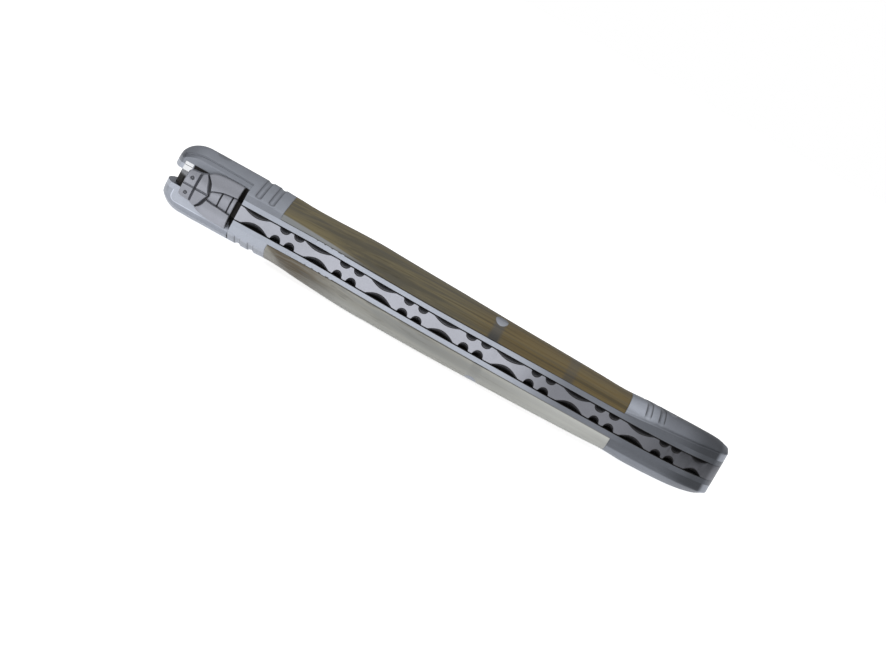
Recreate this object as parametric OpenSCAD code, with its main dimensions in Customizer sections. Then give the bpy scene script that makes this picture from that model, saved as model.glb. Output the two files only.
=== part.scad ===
// Folding pocket knife with a spring back, closed and lying on its left side.
// Outlines are drawn with x from the front lobes to the butt and y from the spine
// down to the belly. z is the thickness, 0 in the middle of the blade slot.

/* [Handle] */
// Length of the closed handle, front lobes to butt
handle_len = 120; // [114:1:130]
// Height from the top line of the spine to the fullest point of the belly
handle_h = 21; // [20:0.5:23]
// Thickness over both scales at their fullest
handle_t = 14.4; // [13.6:0.1:17]
// Radius of the round front lobes, about the pivot
lobe_r = 7.7; // [7.6:0.05:8]
// Length of the front bolsters
front_bolster_len = 23.5; // [22.5:0.1:27]
// Length of the rear bolsters
rear_bolster_len = 22; // [19:0.1:25]

/* [Slot] */
// Width of the slot between the liners
slot_w = 3.25; // [3.2:0.05:3.8]
// Thickness of each liner
liner_t = 1.05; // [0.8:0.05:1.3]

/* [Bolsters] */
// Width of one flute filed across a bolster
flute_w = 1.35; // [1:0.05:1.8]
// Depth of one flute
flute_depth = 0.32; // [0.15:0.05:0.5]
// Distance between the two flutes of a bolster
flute_pitch = 2.8; // [2.2:0.05:3.2]
// Distance from the front seam to the nearest flute
front_flute_inset = 2.9; // [2:0.1:4]
// Distance from the rear seam to the nearest flute
rear_flute_inset = 4.3; // [2:0.1:5]

/* [Blade] */
// Length of the blade from the pivot to the point
blade_len = 102.5; // [94:0.5:103]
// Thickness of the blade at its back
blade_t = 3; // [2.6:0.05:3.1]
// Height of the blade from its edge to its back
blade_h = 11.4; // [10:0.1:11.6]
// Radius of the tang
tang_r = 6.2; // [5.8:0.05:6.4]
// Thickness of the back near the point
point_t = 1; // [0.6:0.1:1.6]
// Thickness left at the cutting edge
edge_t = 0.3; // [0.2:0.05:0.6]

/* [Spring] */
// Thickness of the spring under the bee
spring_head_h = 2.1; // [1.8:0.1:2.3]
// Height of the nose under the spring head that drops into the tang's notch
nose_h = 0.6; // [0.3:0.05:0.8]
// Radius of that nose
nose_r = 1.2; // [0.9:0.05:1.5]
// Distance between the long notches filed in the spring's edges
notch_pitch = 13.75; // [13:0.05:15]
// Length of a long notch along the spring
long_chord = 5.6; // [4:0.1:6]
// Length of a short notch along the spring
short_chord = 2; // [1.4:0.1:2.4]
// Distance between the two short notches of a pair
short_pitch = 3.2; // [2.6:0.1:3.6]
// Depth of every notch, seen from the spine
notch_depth = 1.08; // [0.6:0.02:1.2]

/* [Bee] */
// Length of the bee along the spring
bee_len = 10.5; // [9.5:0.05:11]
// Width over the wings at their tips
bee_w = 9.1; // [8:0.1:9.8]
// Height of the bee from its crown to its underside
bee_h = 2.6; // [2.3:0.05:2.7]

/* [Pins] */
// Diameter of the pivot pin
pivot_pin_d = 3; // [2.5:0.1:4]
// Diameter of the pin through the middle of the spring
spring_pin_d = 2.6; // [2:0.1:2.8]
// Diameter of the pin through the rear bolsters
butt_pin_d = 2; // [1.6:0.1:2.4]
// Diameter of the short rivets of the scales
scale_rivet_d = 2; // [1.6:0.1:2.4]
// Diameter of the hidden rivets of the bolsters
bolster_rivet_d = 2; // [1.6:0.1:2.4]

/* [Hidden] */

// Clearances and overruns
run_fit = 0.03;
pin_fit = 0.02;
tang_gap = 0.05;
stop_gap = 0.15;
braze_gap = 0.02;
cut = 1;

// Pivot and the lobes round it
lobe_drop = 1.7;
pivot_x = lobe_r;
pivot_y = lobe_drop + lobe_r;

// Lines of the spine and the belly as shares of the length and the height
spine_shares = [[0.133, 0.076], [0.2, 0.098], [0.267, 0.114], [0.367, 0.057], [0.467, 0.009],
    [0.55, 0], [0.65, 0], [0.75, 0], [0.825, 0.007], [0.892, 0.043], [0.942, 0.119], [0.9775, 0.226]];
belly_shares = [[0.133, 0.833], [0.217, 0.829], [0.333, 0.819], [0.458, 0.843], [0.583, 0.919],
    [0.7, 0.988], [0.775, 1], [0.85, 0.983], [0.917, 0.94], [0.971, 0.88]];
butt_top_share = 0.438;
butt_foot_share = 0.745;

// Half thickness along the length, as shares of the length and of the full half thickness
full_shares = [[0.04, 0.962], [0.12, 0.962], [0.165, 0.952], [0.195, 0.934], [0.23, 0.926], [0.267, 0.946],
    [0.33, 0.992], [0.36, 1], [0.39, 0.99], [0.5, 0.962], [0.583, 0.934], [0.683, 0.9], [0.76, 0.866],
    [0.8, 0.84], [0.822, 0.844], [0.85, 0.872], [0.892, 0.87], [0.942, 0.856], [0.979, 0.8], [1, 0.66]];
// Half width of the flat facet along the spine, in the same shares
facet_shares = [[0.175, 0.575], [0.192, 0.55], [0.225, 0.46], [0.26, 0.384], [0.5, 0.38], [0.8, 0.384],
    [0.823, 0.43], [0.875, 0.507], [0.955, 0.575], [1, 0.6]];
// Depth of the fullest point under the spine, as shares of the length and the height
crown_shares = [[0.19, 0.4], [0.26, 0.27], [0.35, 0.25], [0.5, 0.22], [0.65, 0.19], [0.8, 0.18], [1, 0.18]];
// How round the side is there: 0 on the flat sided bolsters, 1 on the horn
round_shares = [[0.19, 0], [0.26, 1], [0.5, 1], [0.79, 1], [0.85, 0.5], [1, 0.3]];
// Half thickness left at the belly, in the same shares as the full one
foot_shares = [[0.35, 0.49], [0.6, 0.44], [0.8, 0.38]];
// How late the side falls off to the belly, along the length
fall_power_shares = [[0, 2.2], [0.45, 2], [0.62, 1.6], [1, 1.5]];
edge_limit_share = 0.8;
flat_power = 1.35;
seam_step = 0.1;
lobe_run = 4.8;
lobe_depth = 3.7;
flute_fade = 0.8;

liner_z = slot_w / 2 + liner_t;
front_seam = front_bolster_len;
rear_seam = handle_len - rear_bolster_len;
flute_centres = [front_seam - front_flute_inset - flute_pitch, front_seam - front_flute_inset,
    rear_seam + rear_flute_inset, rear_seam + rear_flute_inset + flute_pitch];

// Smooth curve through a table of points, level with its ends outside them
function table_slope(p, i) = let (a = max(i - 1, 0), b = min(i + 1, len(p) - 1))
    (p[b][1] - p[a][1]) / (p[b][0] - p[a][0]);
function table_span(p, x, i = 0) = i >= len(p) - 2 || x < p[i + 1][0] ? i : table_span(p, x, i + 1);
function through(p, x) = let (i = table_span(p, x), w = p[i + 1][0] - p[i][0],
    t = min(1, max(0, (x - p[i][0]) / w)), t2 = t * t, t3 = t2 * t)
    (2 * t3 - 3 * t2 + 1) * p[i][1] + (t3 - 2 * t2 + t) * w * table_slope(p, i)
    + (3 * t2 - 2 * t3) * p[i + 1][1] + (t3 - t2) * w * table_slope(p, i + 1);
function bend(a, c, b, t) = (1 - t) * (1 - t) * a + 2 * t * (1 - t) * c + t * t * b;
function spaced(a, b, n) = [for (i = [1:n]) a + (b - a) * i / n];

// Spine and belly over the whole length, with the round lobes and the round butt
spine_pts = concat([[pivot_x, lobe_drop]], [for (s = spine_shares) [s[0] * handle_len, s[1] * handle_h]]);
belly_pts = concat([[pivot_x, pivot_y + lobe_r]],
    [for (s = belly_shares) [s[0] * handle_len, s[1] * handle_h]]);
function table_end(p) = p[len(p) - 1];
function butt_round(p, to_y, x) = let (e = table_end(p), run = handle_len - e[0],
    t = 1 - sqrt(max(0, handle_len - x) / run))
    bend(e[1], e[1] + run * table_slope(p, len(p) - 1), to_y, t);
function lobe_y(x) = sqrt(max(0, lobe_r * lobe_r - pow(pivot_x - x, 2)));
function spine(x) = x < pivot_x ? pivot_y - lobe_y(x)
    : x > table_end(spine_pts)[0] ? butt_round(spine_pts, butt_top_share * handle_h, x)
    : through(spine_pts, x);
function belly(x) = x < pivot_x ? pivot_y + lobe_y(x)
    : x > table_end(belly_pts)[0] ? butt_round(belly_pts, butt_foot_share * handle_h, x)
    : through(belly_pts, x);

// Height of the side over the middle plane at a place on the outline
function lobe_fall(x) = x < lobe_run
    ? lobe_depth * (1 - sqrt(1 - pow((lobe_run - x) / lobe_run, 2))) : 0;
function half_t(x) = handle_t / 2 * through(full_shares, x / handle_len) - lobe_fall(x);
function limit_z(x) = liner_z + edge_limit_share * (half_t(x) - liner_z);
function edge_z(x) = min(limit_z(x),
    max(handle_t / 2 * through(facet_shares, x / handle_len), liner_z + seam_step));
function foot_z(x) = min(limit_z(x), max(edge_z(x), handle_t / 2 * through(foot_shares, x / handle_len)));
function crown_y(x) = min(handle_h * through(crown_shares, x / handle_len), (belly(x) - spine(x)) / 2);
function flute(x) = max([0, for (c = flute_centres) flute_depth * (1 - pow((x - c) / (flute_w / 2), 2))]);
function rise(s, w) = (1 - w) * (1 - pow(s, flat_power)) + w * sqrt(max(0, 1 - s * s));
function side_z(x, y) = let (down = y - spine(x), deep = crown_y(x), h = belly(x) - spine(x),
    w = min(1, max(0, through(round_shares, x / handle_len))), t = half_t(x))
    (down < deep
        ? edge_z(x) + (t - edge_z(x)) * rise(1 - max(0, down) / deep, w)
        : t - (t - foot_z(x)) * pow((down - deep) / (h - deep), through(fall_power_shares, x / handle_len)))
    - flute(x) * min(1, max(0, down) / flute_fade, max(0, h - down) / flute_fade);

// Seat of the bee: the spine edge filed away in front of a step
seat_x = 15.7;
seat_rear_y = 4.4;
seat_front_y = 5;
seat_ease = 0.02;
seat_flat_z = 3.6;
seat_fall = 0.7;
seat_turns = [0, 0.35, 0.7];
function seat_y(x) = seat_front_y + (seat_rear_y - seat_front_y) * x / seat_x;
function top_y(x) = x > seat_x ? spine(x) : max(spine(x), seat_y(x));
function fall_y(x) = x > seat_x ? 0 : min(seat_fall, (belly(x) - top_y(x)) / 4);

// Places along the handle where the side's rings stand
ring_steps = 9;
lobe_angles = [for (k = [0:9]) 8 + 9 * k];
flute_steps = 16;
flutes_from = max(flute_centres[0] - flute_w, seat_x + 2 * seat_ease);
front_places = concat([for (a = lobe_angles) lobe_r * (1 - cos(a))],
    spaced(lobe_r, seat_x, 4), [seat_x + seat_ease, flutes_from],
    spaced(flutes_from, flute_centres[1] + flute_w, flute_steps),
    spaced(flute_centres[1] + flute_w, front_seam, 2));
scale_places = concat([front_seam], spaced(front_seam, rear_seam, 26));
rear_places = concat([rear_seam], spaced(rear_seam, flute_centres[2] - flute_w, 2),
    spaced(flute_centres[2] - flute_w, flute_centres[3] + flute_w, flute_steps),
    spaced(flute_centres[3] + flute_w, table_end(spine_pts)[0], 7),
    [for (t = [1:4]) handle_len - (handle_len - table_end(spine_pts)[0]) * pow(1 - t / 4, 2)]);

// Closed ring of a side: the top or the floor of the seat, then the side down to the belly
function ring(x, turns) = let (flat = top_y(x), fall = fall_y(x), top = flat + fall, low = belly(x),
    mid = max(spine(x) + crown_y(x), top + fall), edge = side_z(x, top),
    flat_z = min(seat_flat_z, (liner_z + edge) / 2),
    ys = concat([for (k = [0:ring_steps]) mid + (top - mid) * cos(90 * k / ring_steps)],
        [for (k = [1:ring_steps]) mid + (low - mid) * sin(90 * k / ring_steps)]))
    concat([[x, flat, liner_z]], [for (t = turns) [x, flat + fall * t * t, flat_z + (edge - flat_z) * t]],
        [for (y = ys) [x, y, side_z(x, y)]], [[x, low, liner_z]]);

module skin(places, turns = []) {
    rings = [for (x = places) ring(x, turns)];
    n = len(rings[0]);
    m = len(rings);
    polyhedron(
        points = [for (r = rings) each r],
        faces = concat(
            [[for (i = [0:n - 1]) i]],
            [[for (i = [0:n - 1]) m * n - 1 - i]],
            [for (j = [0:m - 2], i = [0:n - 1]) let (a = j * n + i, b = j * n + (i + 1) % n)
                each [[b, a, a + n], [b + n, b, a + n]]]),
        convexity = 6);
}

// Moves the drawing into the part's frame: centred in x and y, lying on z = 0
module in_frame() {
    translate([-handle_len / 2, -handle_h / 2, handle_t / 2]) children();
}

// Places of the pins in the side outline
spring_pin_x = 0.579 * handle_len;
spring_pin_deep = 2.6;
butt_pin_x = 0.888 * handle_len;
butt_pin_deep = 4.2;
scale_rivet_shares = [[0.3, 0.595], [0.713, 0.3]];
bolster_rivet_shares = [[0.14, 0.57], [0.93, 0.52]];
rivet_bury_share = 0.6;
function at_shares(s) = [s[0] * handle_len, s[1] * handle_h];
spring_pin_at = [spring_pin_x, spine(spring_pin_x) + spring_pin_deep];
butt_pin_at = [butt_pin_x, spine(butt_pin_x) + butt_pin_deep];

module bore(at, d) {
    translate([at[0], at[1], -handle_t / 2 - cut])
        cylinder(d = d + 2 * pin_fit, h = handle_t + 2 * cut, $fn = 48);
}

module all_bores() {
    bore([pivot_x, pivot_y], pivot_pin_d);
    bore(spring_pin_at, spring_pin_d);
    bore(butt_pin_at, butt_pin_d);
    for (s = scale_rivet_shares) bore(at_shares(s), scale_rivet_d);
}

// One end of a pin, from a height up to the side of the handle and filed flush with it
module flush_end(at, d, from_z) {
    z = side_z(at[0], at[1]);
    step = d / 4;
    tilt_x = atan((side_z(at[0], at[1] + step) - side_z(at[0], at[1] - step)) / (2 * step));
    tilt_y = -atan((side_z(at[0] + step, at[1]) - side_z(at[0] - step, at[1])) / (2 * step));
    difference() {
        translate([at[0], at[1], from_z]) cylinder(d = d, h = z + d - from_z, $fn = 48);
        translate([at[0], at[1], z]) rotate([tilt_x, tilt_y, 0])
            translate([-2 * d, -2 * d, 0]) cube(4 * d);
    }
}

module through_pin(at, d) {
    flush_end(at, d, 0);
    mirror([0, 0, 1]) flush_end(at, d, 0);
}

module bee_seat() {
    translate([0, 0, -handle_t]) linear_extrude(2 * handle_t)
        polygon([[-cut, -cut], [seat_x, -cut], [seat_x, seat_y(seat_x)], [-cut, seat_y(-cut)]]);
}

outline_step = 1.6;
outline_n = ceil((table_end(belly_pts)[0] - pivot_x) / outline_step);
butt_steps = 8;
function butt_places(p) = [for (k = [1:butt_steps])
    handle_len - (handle_len - table_end(p)[0]) * pow(1 - k / butt_steps, 2)];
spine_run = concat(spaced(pivot_x, table_end(spine_pts)[0], outline_n), butt_places(spine_pts));
belly_run = concat(spaced(pivot_x, table_end(belly_pts)[0], outline_n), butt_places(belly_pts));

module handle_outline() {
    translate([pivot_x, pivot_y]) circle(r = lobe_r, $fn = 96);
    polygon(concat([[pivot_x, pivot_y - lobe_r]], [for (x = spine_run) [x, spine(x)]],
        [for (k = [len(belly_run) - 1:-1:0]) [belly_run[k], belly(belly_run[k])]],
        [[pivot_x, pivot_y + lobe_r]]));
}

module liner() {
    color("lightslategray") difference() {
        translate([0, 0, slot_w / 2]) linear_extrude(liner_t) handle_outline();
        bee_seat();
        all_bores();
        for (s = bolster_rivet_shares) bore(at_shares(s), bolster_rivet_d);
    }
}

// Blind holes of the bolster rivets, from the liner's face
module rivet_holes() {
    for (s = bolster_rivet_shares) let (at = at_shares(s), z = side_z(at[0], at[1]))
        translate([at[0], at[1], 0])
            cylinder(d = bolster_rivet_d + 2 * pin_fit,
                h = liner_z + rivet_bury_share * (z - liner_z) + pin_fit, $fn = 48);
}

module front_bolster() {
    color("slategray") difference() {
        skin(front_places, seat_turns);
        bore([pivot_x, pivot_y], pivot_pin_d);
        rivet_holes();
    }
}

module rear_bolster() {
    color("slategray") difference() {
        skin(rear_places);
        bore(butt_pin_at, butt_pin_d);
        rivet_holes();
    }
}

module scale_side() {
    difference() {
        skin(scale_places);
        bore(spring_pin_at, spring_pin_d);
        for (s = scale_rivet_shares) bore(at_shares(s), scale_rivet_d);
    }
}

module scale_rivets() {
    color("silver") for (s = scale_rivet_shares) flush_end(at_shares(s), scale_rivet_d, slot_w / 2);
}

module bolster_rivets() {
    color("silver") for (s = bolster_rivet_shares)
        let (at = at_shares(s), z = side_z(at[0], at[1]))
            translate([at[0], at[1], slot_w / 2])
                cylinder(d = bolster_rivet_d, h = liner_t + rivet_bury_share * (z - liner_z), $fn = 48);
}

// Bee and the spring head under it, in front of the step of the seat
bee_gap = 1.2;
bee_top = 1.45;
bee_crown_r = 6.2;
bee_under = bee_top + bee_h;
bee_rear = seat_x - bee_gap;
bee_front = bee_rear - bee_len;
head_top = bee_top + 1.25;
head_front = bee_front + 0.1;
head_under = head_top + spring_head_h;
nose_at = [pivot_x + 0.5, head_under + nose_h - nose_r];

// Blade, closed: its edge faces the spring and its back stands out at the belly
back_out = 1.2;
back_y = lobe_drop + 2 * lobe_r + back_out;
edge_y = back_y - blade_h;
tang_open_y = pivot_y - head_under - tang_gap;
tang_closed_y = pivot_y - head_under - nose_h - tang_gap;
shoulder_x = 2 * pivot_x - bee_front + stop_gap;
shoulder_ease = 0.6;
kick_x = pivot_x + 5.6;
kick_fall = 1.4;
heel_x = kick_x + 6.2;
heel_lap = 1;
tip_x = pivot_x + blade_len;
point_fall = 3.7;
back_bend_share = 0.5;
edge_bend_share = 0.62;
back_power = 2.2;
edge_power = 2.4;
thin_power = 1.5;
blade_steps = 30;

function past(s, from) = max(0, (s - from) / (1 - from));
function back_at(s) = back_y - point_fall * pow(past(s, back_bend_share), back_power);
function edge_at(s) = edge_y + (blade_h - point_fall - edge_t / 2) * pow(past(s, edge_bend_share), edge_power);
function back_t(s) = blade_t + (point_t - blade_t) * pow(max(0, s), thin_power);

module ground_blade() {
    from = heel_x - heel_lap;
    rings = [for (k = [0:blade_steps]) let (x = from + (tip_x - from) * sin(90 * k / blade_steps),
        s = (x - heel_x) / (tip_x - heel_x), t = back_t(s) / 2, e = edge_t / 2)
        [[x, back_at(s), t], [x, back_at(s), -t], [x, edge_at(s), -e], [x, edge_at(s), e]]];
    n = 4;
    m = len(rings);
    polyhedron(
        points = [for (r = rings) each r],
        faces = concat([[3, 2, 1, 0]], [[for (i = [0:n - 1]) (m - 1) * n + i]],
            [for (j = [0:m - 2], i = [0:n - 1]) let (a = j * n + i, b = j * n + (i + 1) % n)
                each [[a, b, a + n], [b, b + n, a + n]]]),
        convexity = 4);
}

module tang_outline() {
    intersection() {
        translate([pivot_x, pivot_y]) circle(r = tang_r, $fn = 96);
        translate([pivot_x - tang_r, pivot_y - tang_closed_y])
            square([2 * tang_r, tang_closed_y + tang_open_y]);
    }
    polygon([[pivot_x, pivot_y - tang_closed_y], [kick_x, pivot_y - tang_closed_y],
        [kick_x + kick_fall, edge_y], [heel_x, edge_y], [heel_x, back_y],
        [shoulder_x + shoulder_ease, back_y], [shoulder_x, back_y - shoulder_ease],
        [shoulder_x, pivot_y + tang_open_y], [pivot_x, pivot_y + tang_open_y]]);
}

module blade() {
    in_frame() color("gainsboro") difference() {
        union() {
            translate([0, 0, -blade_t / 2]) linear_extrude(blade_t) difference() {
                tang_outline();
                translate([2 * pivot_x - nose_at[0], 2 * pivot_y - nose_at[1]])
                    circle(r = nose_r + tang_gap, $fn = 48);
            }
            ground_blade();
        }
        translate([pivot_x, pivot_y, -blade_t])
            cylinder(d = pivot_pin_d + 2 * run_fit, h = 2 * blade_t, $fn = 48);
    }
}

// Back spring: a bar between the liners, filed along both edges
under_shares = [[0.2, 0.236], [0.333, 0.255], [0.48, 0.238], [0.68, 0.248], [0.75, 0.262],
    [0.833, 0.3], [0.892, 0.367], [0.942, 0.448], [1, 0.505]];
under_pts = concat([[seat_x, head_under]], [for (s = under_shares) [s[0] * handle_len, s[1] * handle_h]]);
spring_run = [for (x = spine_run) if (x > seat_x + outline_step / 2) x];
under_run = concat([seat_x], spring_run);

module spring_outline() {
    polygon(concat([[head_front, head_under], [head_front, head_top], [seat_x, head_top],
        [seat_x, spine(seat_x)]], [for (x = spring_run) [x, spine(x)]],
        [for (k = [len(under_run) - 1:-1:0]) [under_run[k], through(under_pts, under_run[k])]]));
    translate(nose_at) circle(r = nose_r, $fn = 48);
}

// Notches of a round file held across the edge of the spring at a tilt
file_tilt = 30;
long_first = seat_x + 3.9;
long_count = floor((handle_len - long_first) / notch_pitch) + 1;
file_bite = notch_depth * cos(file_tilt);
file_reach = 4 * notch_depth;

module file_cut(x, chord) {
    r = (chord * chord / 4 + file_bite * file_bite) / (2 * file_bite);
    away = r - file_bite;
    translate([x, spine(x) - away * sin(file_tilt), slot_w / 2 + away * cos(file_tilt)])
        rotate([file_tilt - 90, 0, 0]) cylinder(r = r, h = 2 * file_reach, center = true, $fn = 64);
}

module filework() {
    for (k = [0:long_count - 1]) file_cut(long_first + k * notch_pitch, long_chord);
    for (k = [0:long_count - 2], side = [-1, 1])
        file_cut(long_first + (k + 1 / 2) * notch_pitch + side * short_pitch / 2, short_chord);
}

module back_spring() {
    in_frame() color("lightsteelblue") difference() {
        translate([0, 0, -slot_w / 2]) linear_extrude(slot_w) spring_outline();
        filework();
        mirror([0, 0, 1]) filework();
        bore(spring_pin_at, spring_pin_d);
        bore(butt_pin_at, butt_pin_d);
    }
}

// Bee: a crowned plate that straddles the spring head, cut into head, wings and body
bee_side_shares = [[0, 0.55], [0.03, 0.61], [0.21, 0.7], [0.355, 0.8], [0.42, 0.88], [0.52, 0.945],
    [0.7, 0.985], [0.97, 1], [1, 0.97]];
body_shares = [[0.5, 0.02], [0.56, 0.25], [1.02, 0.4]];
neck_share = 0.222;
band_shares = [0.71, 0.895];
eye_share = [0.11, 0.34];
groove_r = 0.17;
eye_r = 0.34;
eye_groove = 0.12;
eye_depth = 0.25;

function bee_at(s) = [bee_front + s[0] * bee_len, s[1] * bee_w / 2];
function crown_drop(z) = bee_top + bee_crown_r - sqrt(bee_crown_r * bee_crown_r - z * z);
function on_crown(p) = [p[0], crown_drop(p[1]), p[1]];

module plate(side, from_y, to_y) {
    pts = [for (s = side) bee_at(s)];
    translate([0, to_y, 0]) rotate([90, 0, 0]) linear_extrude(to_y - from_y)
        polygon(concat(pts, [for (k = [len(pts) - 1:-1:0]) [pts[k][0], -pts[k][1]]]));
}

module groove(from, to) {
    p = on_crown(bee_at(from));
    run = on_crown(bee_at(to)) - p;
    translate(p) rotate([0, acos(run[2] / norm(run)), atan2(run[1], run[0])])
        translate([0, 0, -groove_r]) cylinder(r = groove_r, h = norm(run) + 2 * groove_r, $fn = 24);
}

module band(share) {
    translate([bee_front + share * bee_len, bee_top + bee_crown_r, 0]) rotate([0, 90, 0])
        rotate_extrude($fn = 96) translate([bee_crown_r, 0]) circle(r = groove_r, $fn = 24);
}

module bee_grooves() {
    groove([-0.05, 0], [0.5, 0]);
    band(neck_share);
    intersection() {
        for (s = band_shares) band(s);
        plate(body_shares, bee_top - cut, bee_under);
    }
    for (side = [-1, 1]) {
        groove([0.31, side * 0.86], [0.405, side * 0.43]);
        groove([0.405, side * 0.43], [0.52, 0]);
        groove([0.47, side * 0.2], [1.02, side * 0.42]);
        translate(on_crown(bee_at([eye_share[0], side * eye_share[1]]))) rotate([90, 0, 0]) difference() {
            cylinder(r = eye_r, h = 2 * eye_depth, center = true, $fn = 32);
            cylinder(r = eye_r - eye_groove, h = 2 * eye_depth + cut, center = true, $fn = 32);
        }
    }
}

module bee() {
    in_frame() color("silver") difference() {
        intersection() {
            plate(bee_side_shares, bee_top, bee_under);
            translate([bee_front - cut, bee_top + bee_crown_r, 0]) rotate([0, 90, 0])
                cylinder(r = bee_crown_r, h = bee_len + 2 * cut, $fn = 96);
        }
        translate([bee_front - cut, head_top - braze_gap, -slot_w / 2 - braze_gap])
            cube([bee_len + 2 * cut, bee_h, slot_w + 2 * braze_gap]);
        bee_grooves();
    }
}

// Pins and the pieces of each side
module pivot_pin() {
    in_frame() color("silver") through_pin([pivot_x, pivot_y], pivot_pin_d);
}

module spring_pin() {
    in_frame() color("silver") through_pin(spring_pin_at, spring_pin_d);
}

module butt_pin() {
    in_frame() color("silver") through_pin(butt_pin_at, butt_pin_d);
}

module left_side() {
    in_frame() mirror([0, 0, 1]) children();
}

module right_side() {
    in_frame() children();
}

module left_liner() { left_side() liner(); }
module right_liner() { right_side() liner(); }
module front_bolster_left() { left_side() front_bolster(); }
module front_bolster_right() { right_side() front_bolster(); }
module rear_bolster_left() { left_side() rear_bolster(); }
module rear_bolster_right() { right_side() rear_bolster(); }
module left_scale() { left_side() color("lightgray") scale_side(); }
module right_scale() { right_side() color("darkkhaki") scale_side(); }
module left_scale_rivets() { left_side() scale_rivets(); }
module right_scale_rivets() { right_side() scale_rivets(); }
module left_bolster_rivets() { left_side() bolster_rivets(); }
module right_bolster_rivets() { right_side() bolster_rivets(); }

blade();
back_spring();
bee();
left_liner();
right_liner();
front_bolster_left();
front_bolster_right();
rear_bolster_left();
rear_bolster_right();
left_scale();
right_scale();
pivot_pin();
spring_pin();
butt_pin();
left_scale_rivets();
right_scale_rivets();
left_bolster_rivets();
right_bolster_rivets();
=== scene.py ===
import math

import bmesh
import bpy
import numpy as np
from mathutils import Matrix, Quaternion, Vector


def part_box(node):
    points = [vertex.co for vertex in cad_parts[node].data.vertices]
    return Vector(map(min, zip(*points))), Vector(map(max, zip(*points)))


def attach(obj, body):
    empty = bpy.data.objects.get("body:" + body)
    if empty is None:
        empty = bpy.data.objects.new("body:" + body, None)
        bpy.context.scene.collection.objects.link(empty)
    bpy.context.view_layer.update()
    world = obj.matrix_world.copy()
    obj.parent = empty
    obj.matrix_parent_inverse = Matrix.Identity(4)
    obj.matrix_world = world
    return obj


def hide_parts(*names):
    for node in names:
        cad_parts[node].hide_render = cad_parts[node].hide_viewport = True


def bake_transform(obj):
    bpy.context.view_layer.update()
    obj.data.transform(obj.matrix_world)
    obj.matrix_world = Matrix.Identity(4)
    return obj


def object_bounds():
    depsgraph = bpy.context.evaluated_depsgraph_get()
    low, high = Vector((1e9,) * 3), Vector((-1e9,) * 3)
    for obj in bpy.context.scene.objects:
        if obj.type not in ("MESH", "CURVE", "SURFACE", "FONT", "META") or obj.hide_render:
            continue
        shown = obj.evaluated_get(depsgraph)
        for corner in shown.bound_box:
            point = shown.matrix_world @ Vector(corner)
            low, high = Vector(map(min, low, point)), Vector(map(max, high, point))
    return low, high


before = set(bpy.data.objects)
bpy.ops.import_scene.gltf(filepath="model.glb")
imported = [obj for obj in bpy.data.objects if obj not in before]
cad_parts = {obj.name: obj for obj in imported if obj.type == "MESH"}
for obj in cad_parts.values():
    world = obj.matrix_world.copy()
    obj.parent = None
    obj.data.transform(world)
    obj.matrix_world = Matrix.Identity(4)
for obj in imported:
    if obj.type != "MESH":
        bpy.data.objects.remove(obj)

bl_info = {
    "name": "Folding Knife Dressing",
    "version": (1, 0, 0),
    "blender": (4, 5, 0),
    "location": "View3D > Sidebar > Knife",
    "description": "Dresses the packed folding knife with its fine shapes, finishes and studio",
    "category": "Object",
}

# Drawing frame of the shapes below, in millimetres: x from the front lobes to the butt,
# y from the top line of the spine down to the belly, z from the middle of the slot.
MM = 0.001
CAD_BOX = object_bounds()
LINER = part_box("right_liner")
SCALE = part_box("right_scale")
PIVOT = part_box("pivot_pin")
SPRING_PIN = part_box("spring_pin")
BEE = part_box("bee")
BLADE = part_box("blade")
MIDDLE_Z = (CAD_BOX[0].z + CAD_BOX[1].z) / 2
SLOTS = {"blade": "blade_steel", "steel": "blasted_steel", "pin": "pin_steel",
         "olive": "olive_horn", "pale": "pale_horn"}


def size(name, description, default):
    return bpy.props.FloatProperty(name=name, description=description, default=default, unit="LENGTH",
                                   subtype="DISTANCE", min=0, precision=5)


def colour(name, description, default):
    return bpy.props.FloatVectorProperty(name=name, description=description, default=default,
                                         subtype="COLOR", size=3, min=0, max=1)


class KnifeHandle(bpy.types.PropertyGroup):
    length: size("Length", "Front lobes to butt", 2 * LINER[1].x)
    height: size("Height", "Top line of the spine to the fullest belly", 2 * LINER[1].y)
    thickness: size("Thickness", "Over both scales", CAD_BOX[1].z - CAD_BOX[0].z)
    lobe_radius: size("Lobe Radius", "Round front of the bolsters",
                      (PIVOT[0].x + PIVOT[1].x) / 2 + LINER[1].x)
    front_seam: size("Front Seam", "Front lobes to the scales", SCALE[0].x + LINER[1].x)
    rear_seam: size("Rear Seam", "Front lobes to the rear bolsters", SCALE[1].x + LINER[1].x)
    slot: size("Slot", "Width between the liners", 2 * (LINER[0].z - MIDDLE_Z))
    liner: size("Liner", "Thickness of a liner", LINER[1].z - LINER[0].z)
    edge_round: size("Edge Rounding", "Rounding of the bolster and scale edges", 0.00022)
    seam_chamfer: size("Seam Chamfer", "Chamfer on each side of a seam", 0.00007)
    flute_width: size("Flute Width", "Width of a groove filed across a bolster", 0.00135)
    flute_depth: size("Flute Depth", "Depth of a groove filed across a bolster", 0.00032)


class KnifeSpring(bpy.types.PropertyGroup):
    long_notch: size("Long Notch", "Length of a long notch", 0.0060)
    short_notch: size("Short Notch", "Length of a short notch", 0.00215)
    depth: size("Notch Depth", "Depth of the notches", 0.00102)
    tilt: bpy.props.FloatProperty(name="File Tilt", description="Lean of the filed walls", unit="ROTATION",
                                  subtype="ANGLE", default=math.radians(28))


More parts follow.
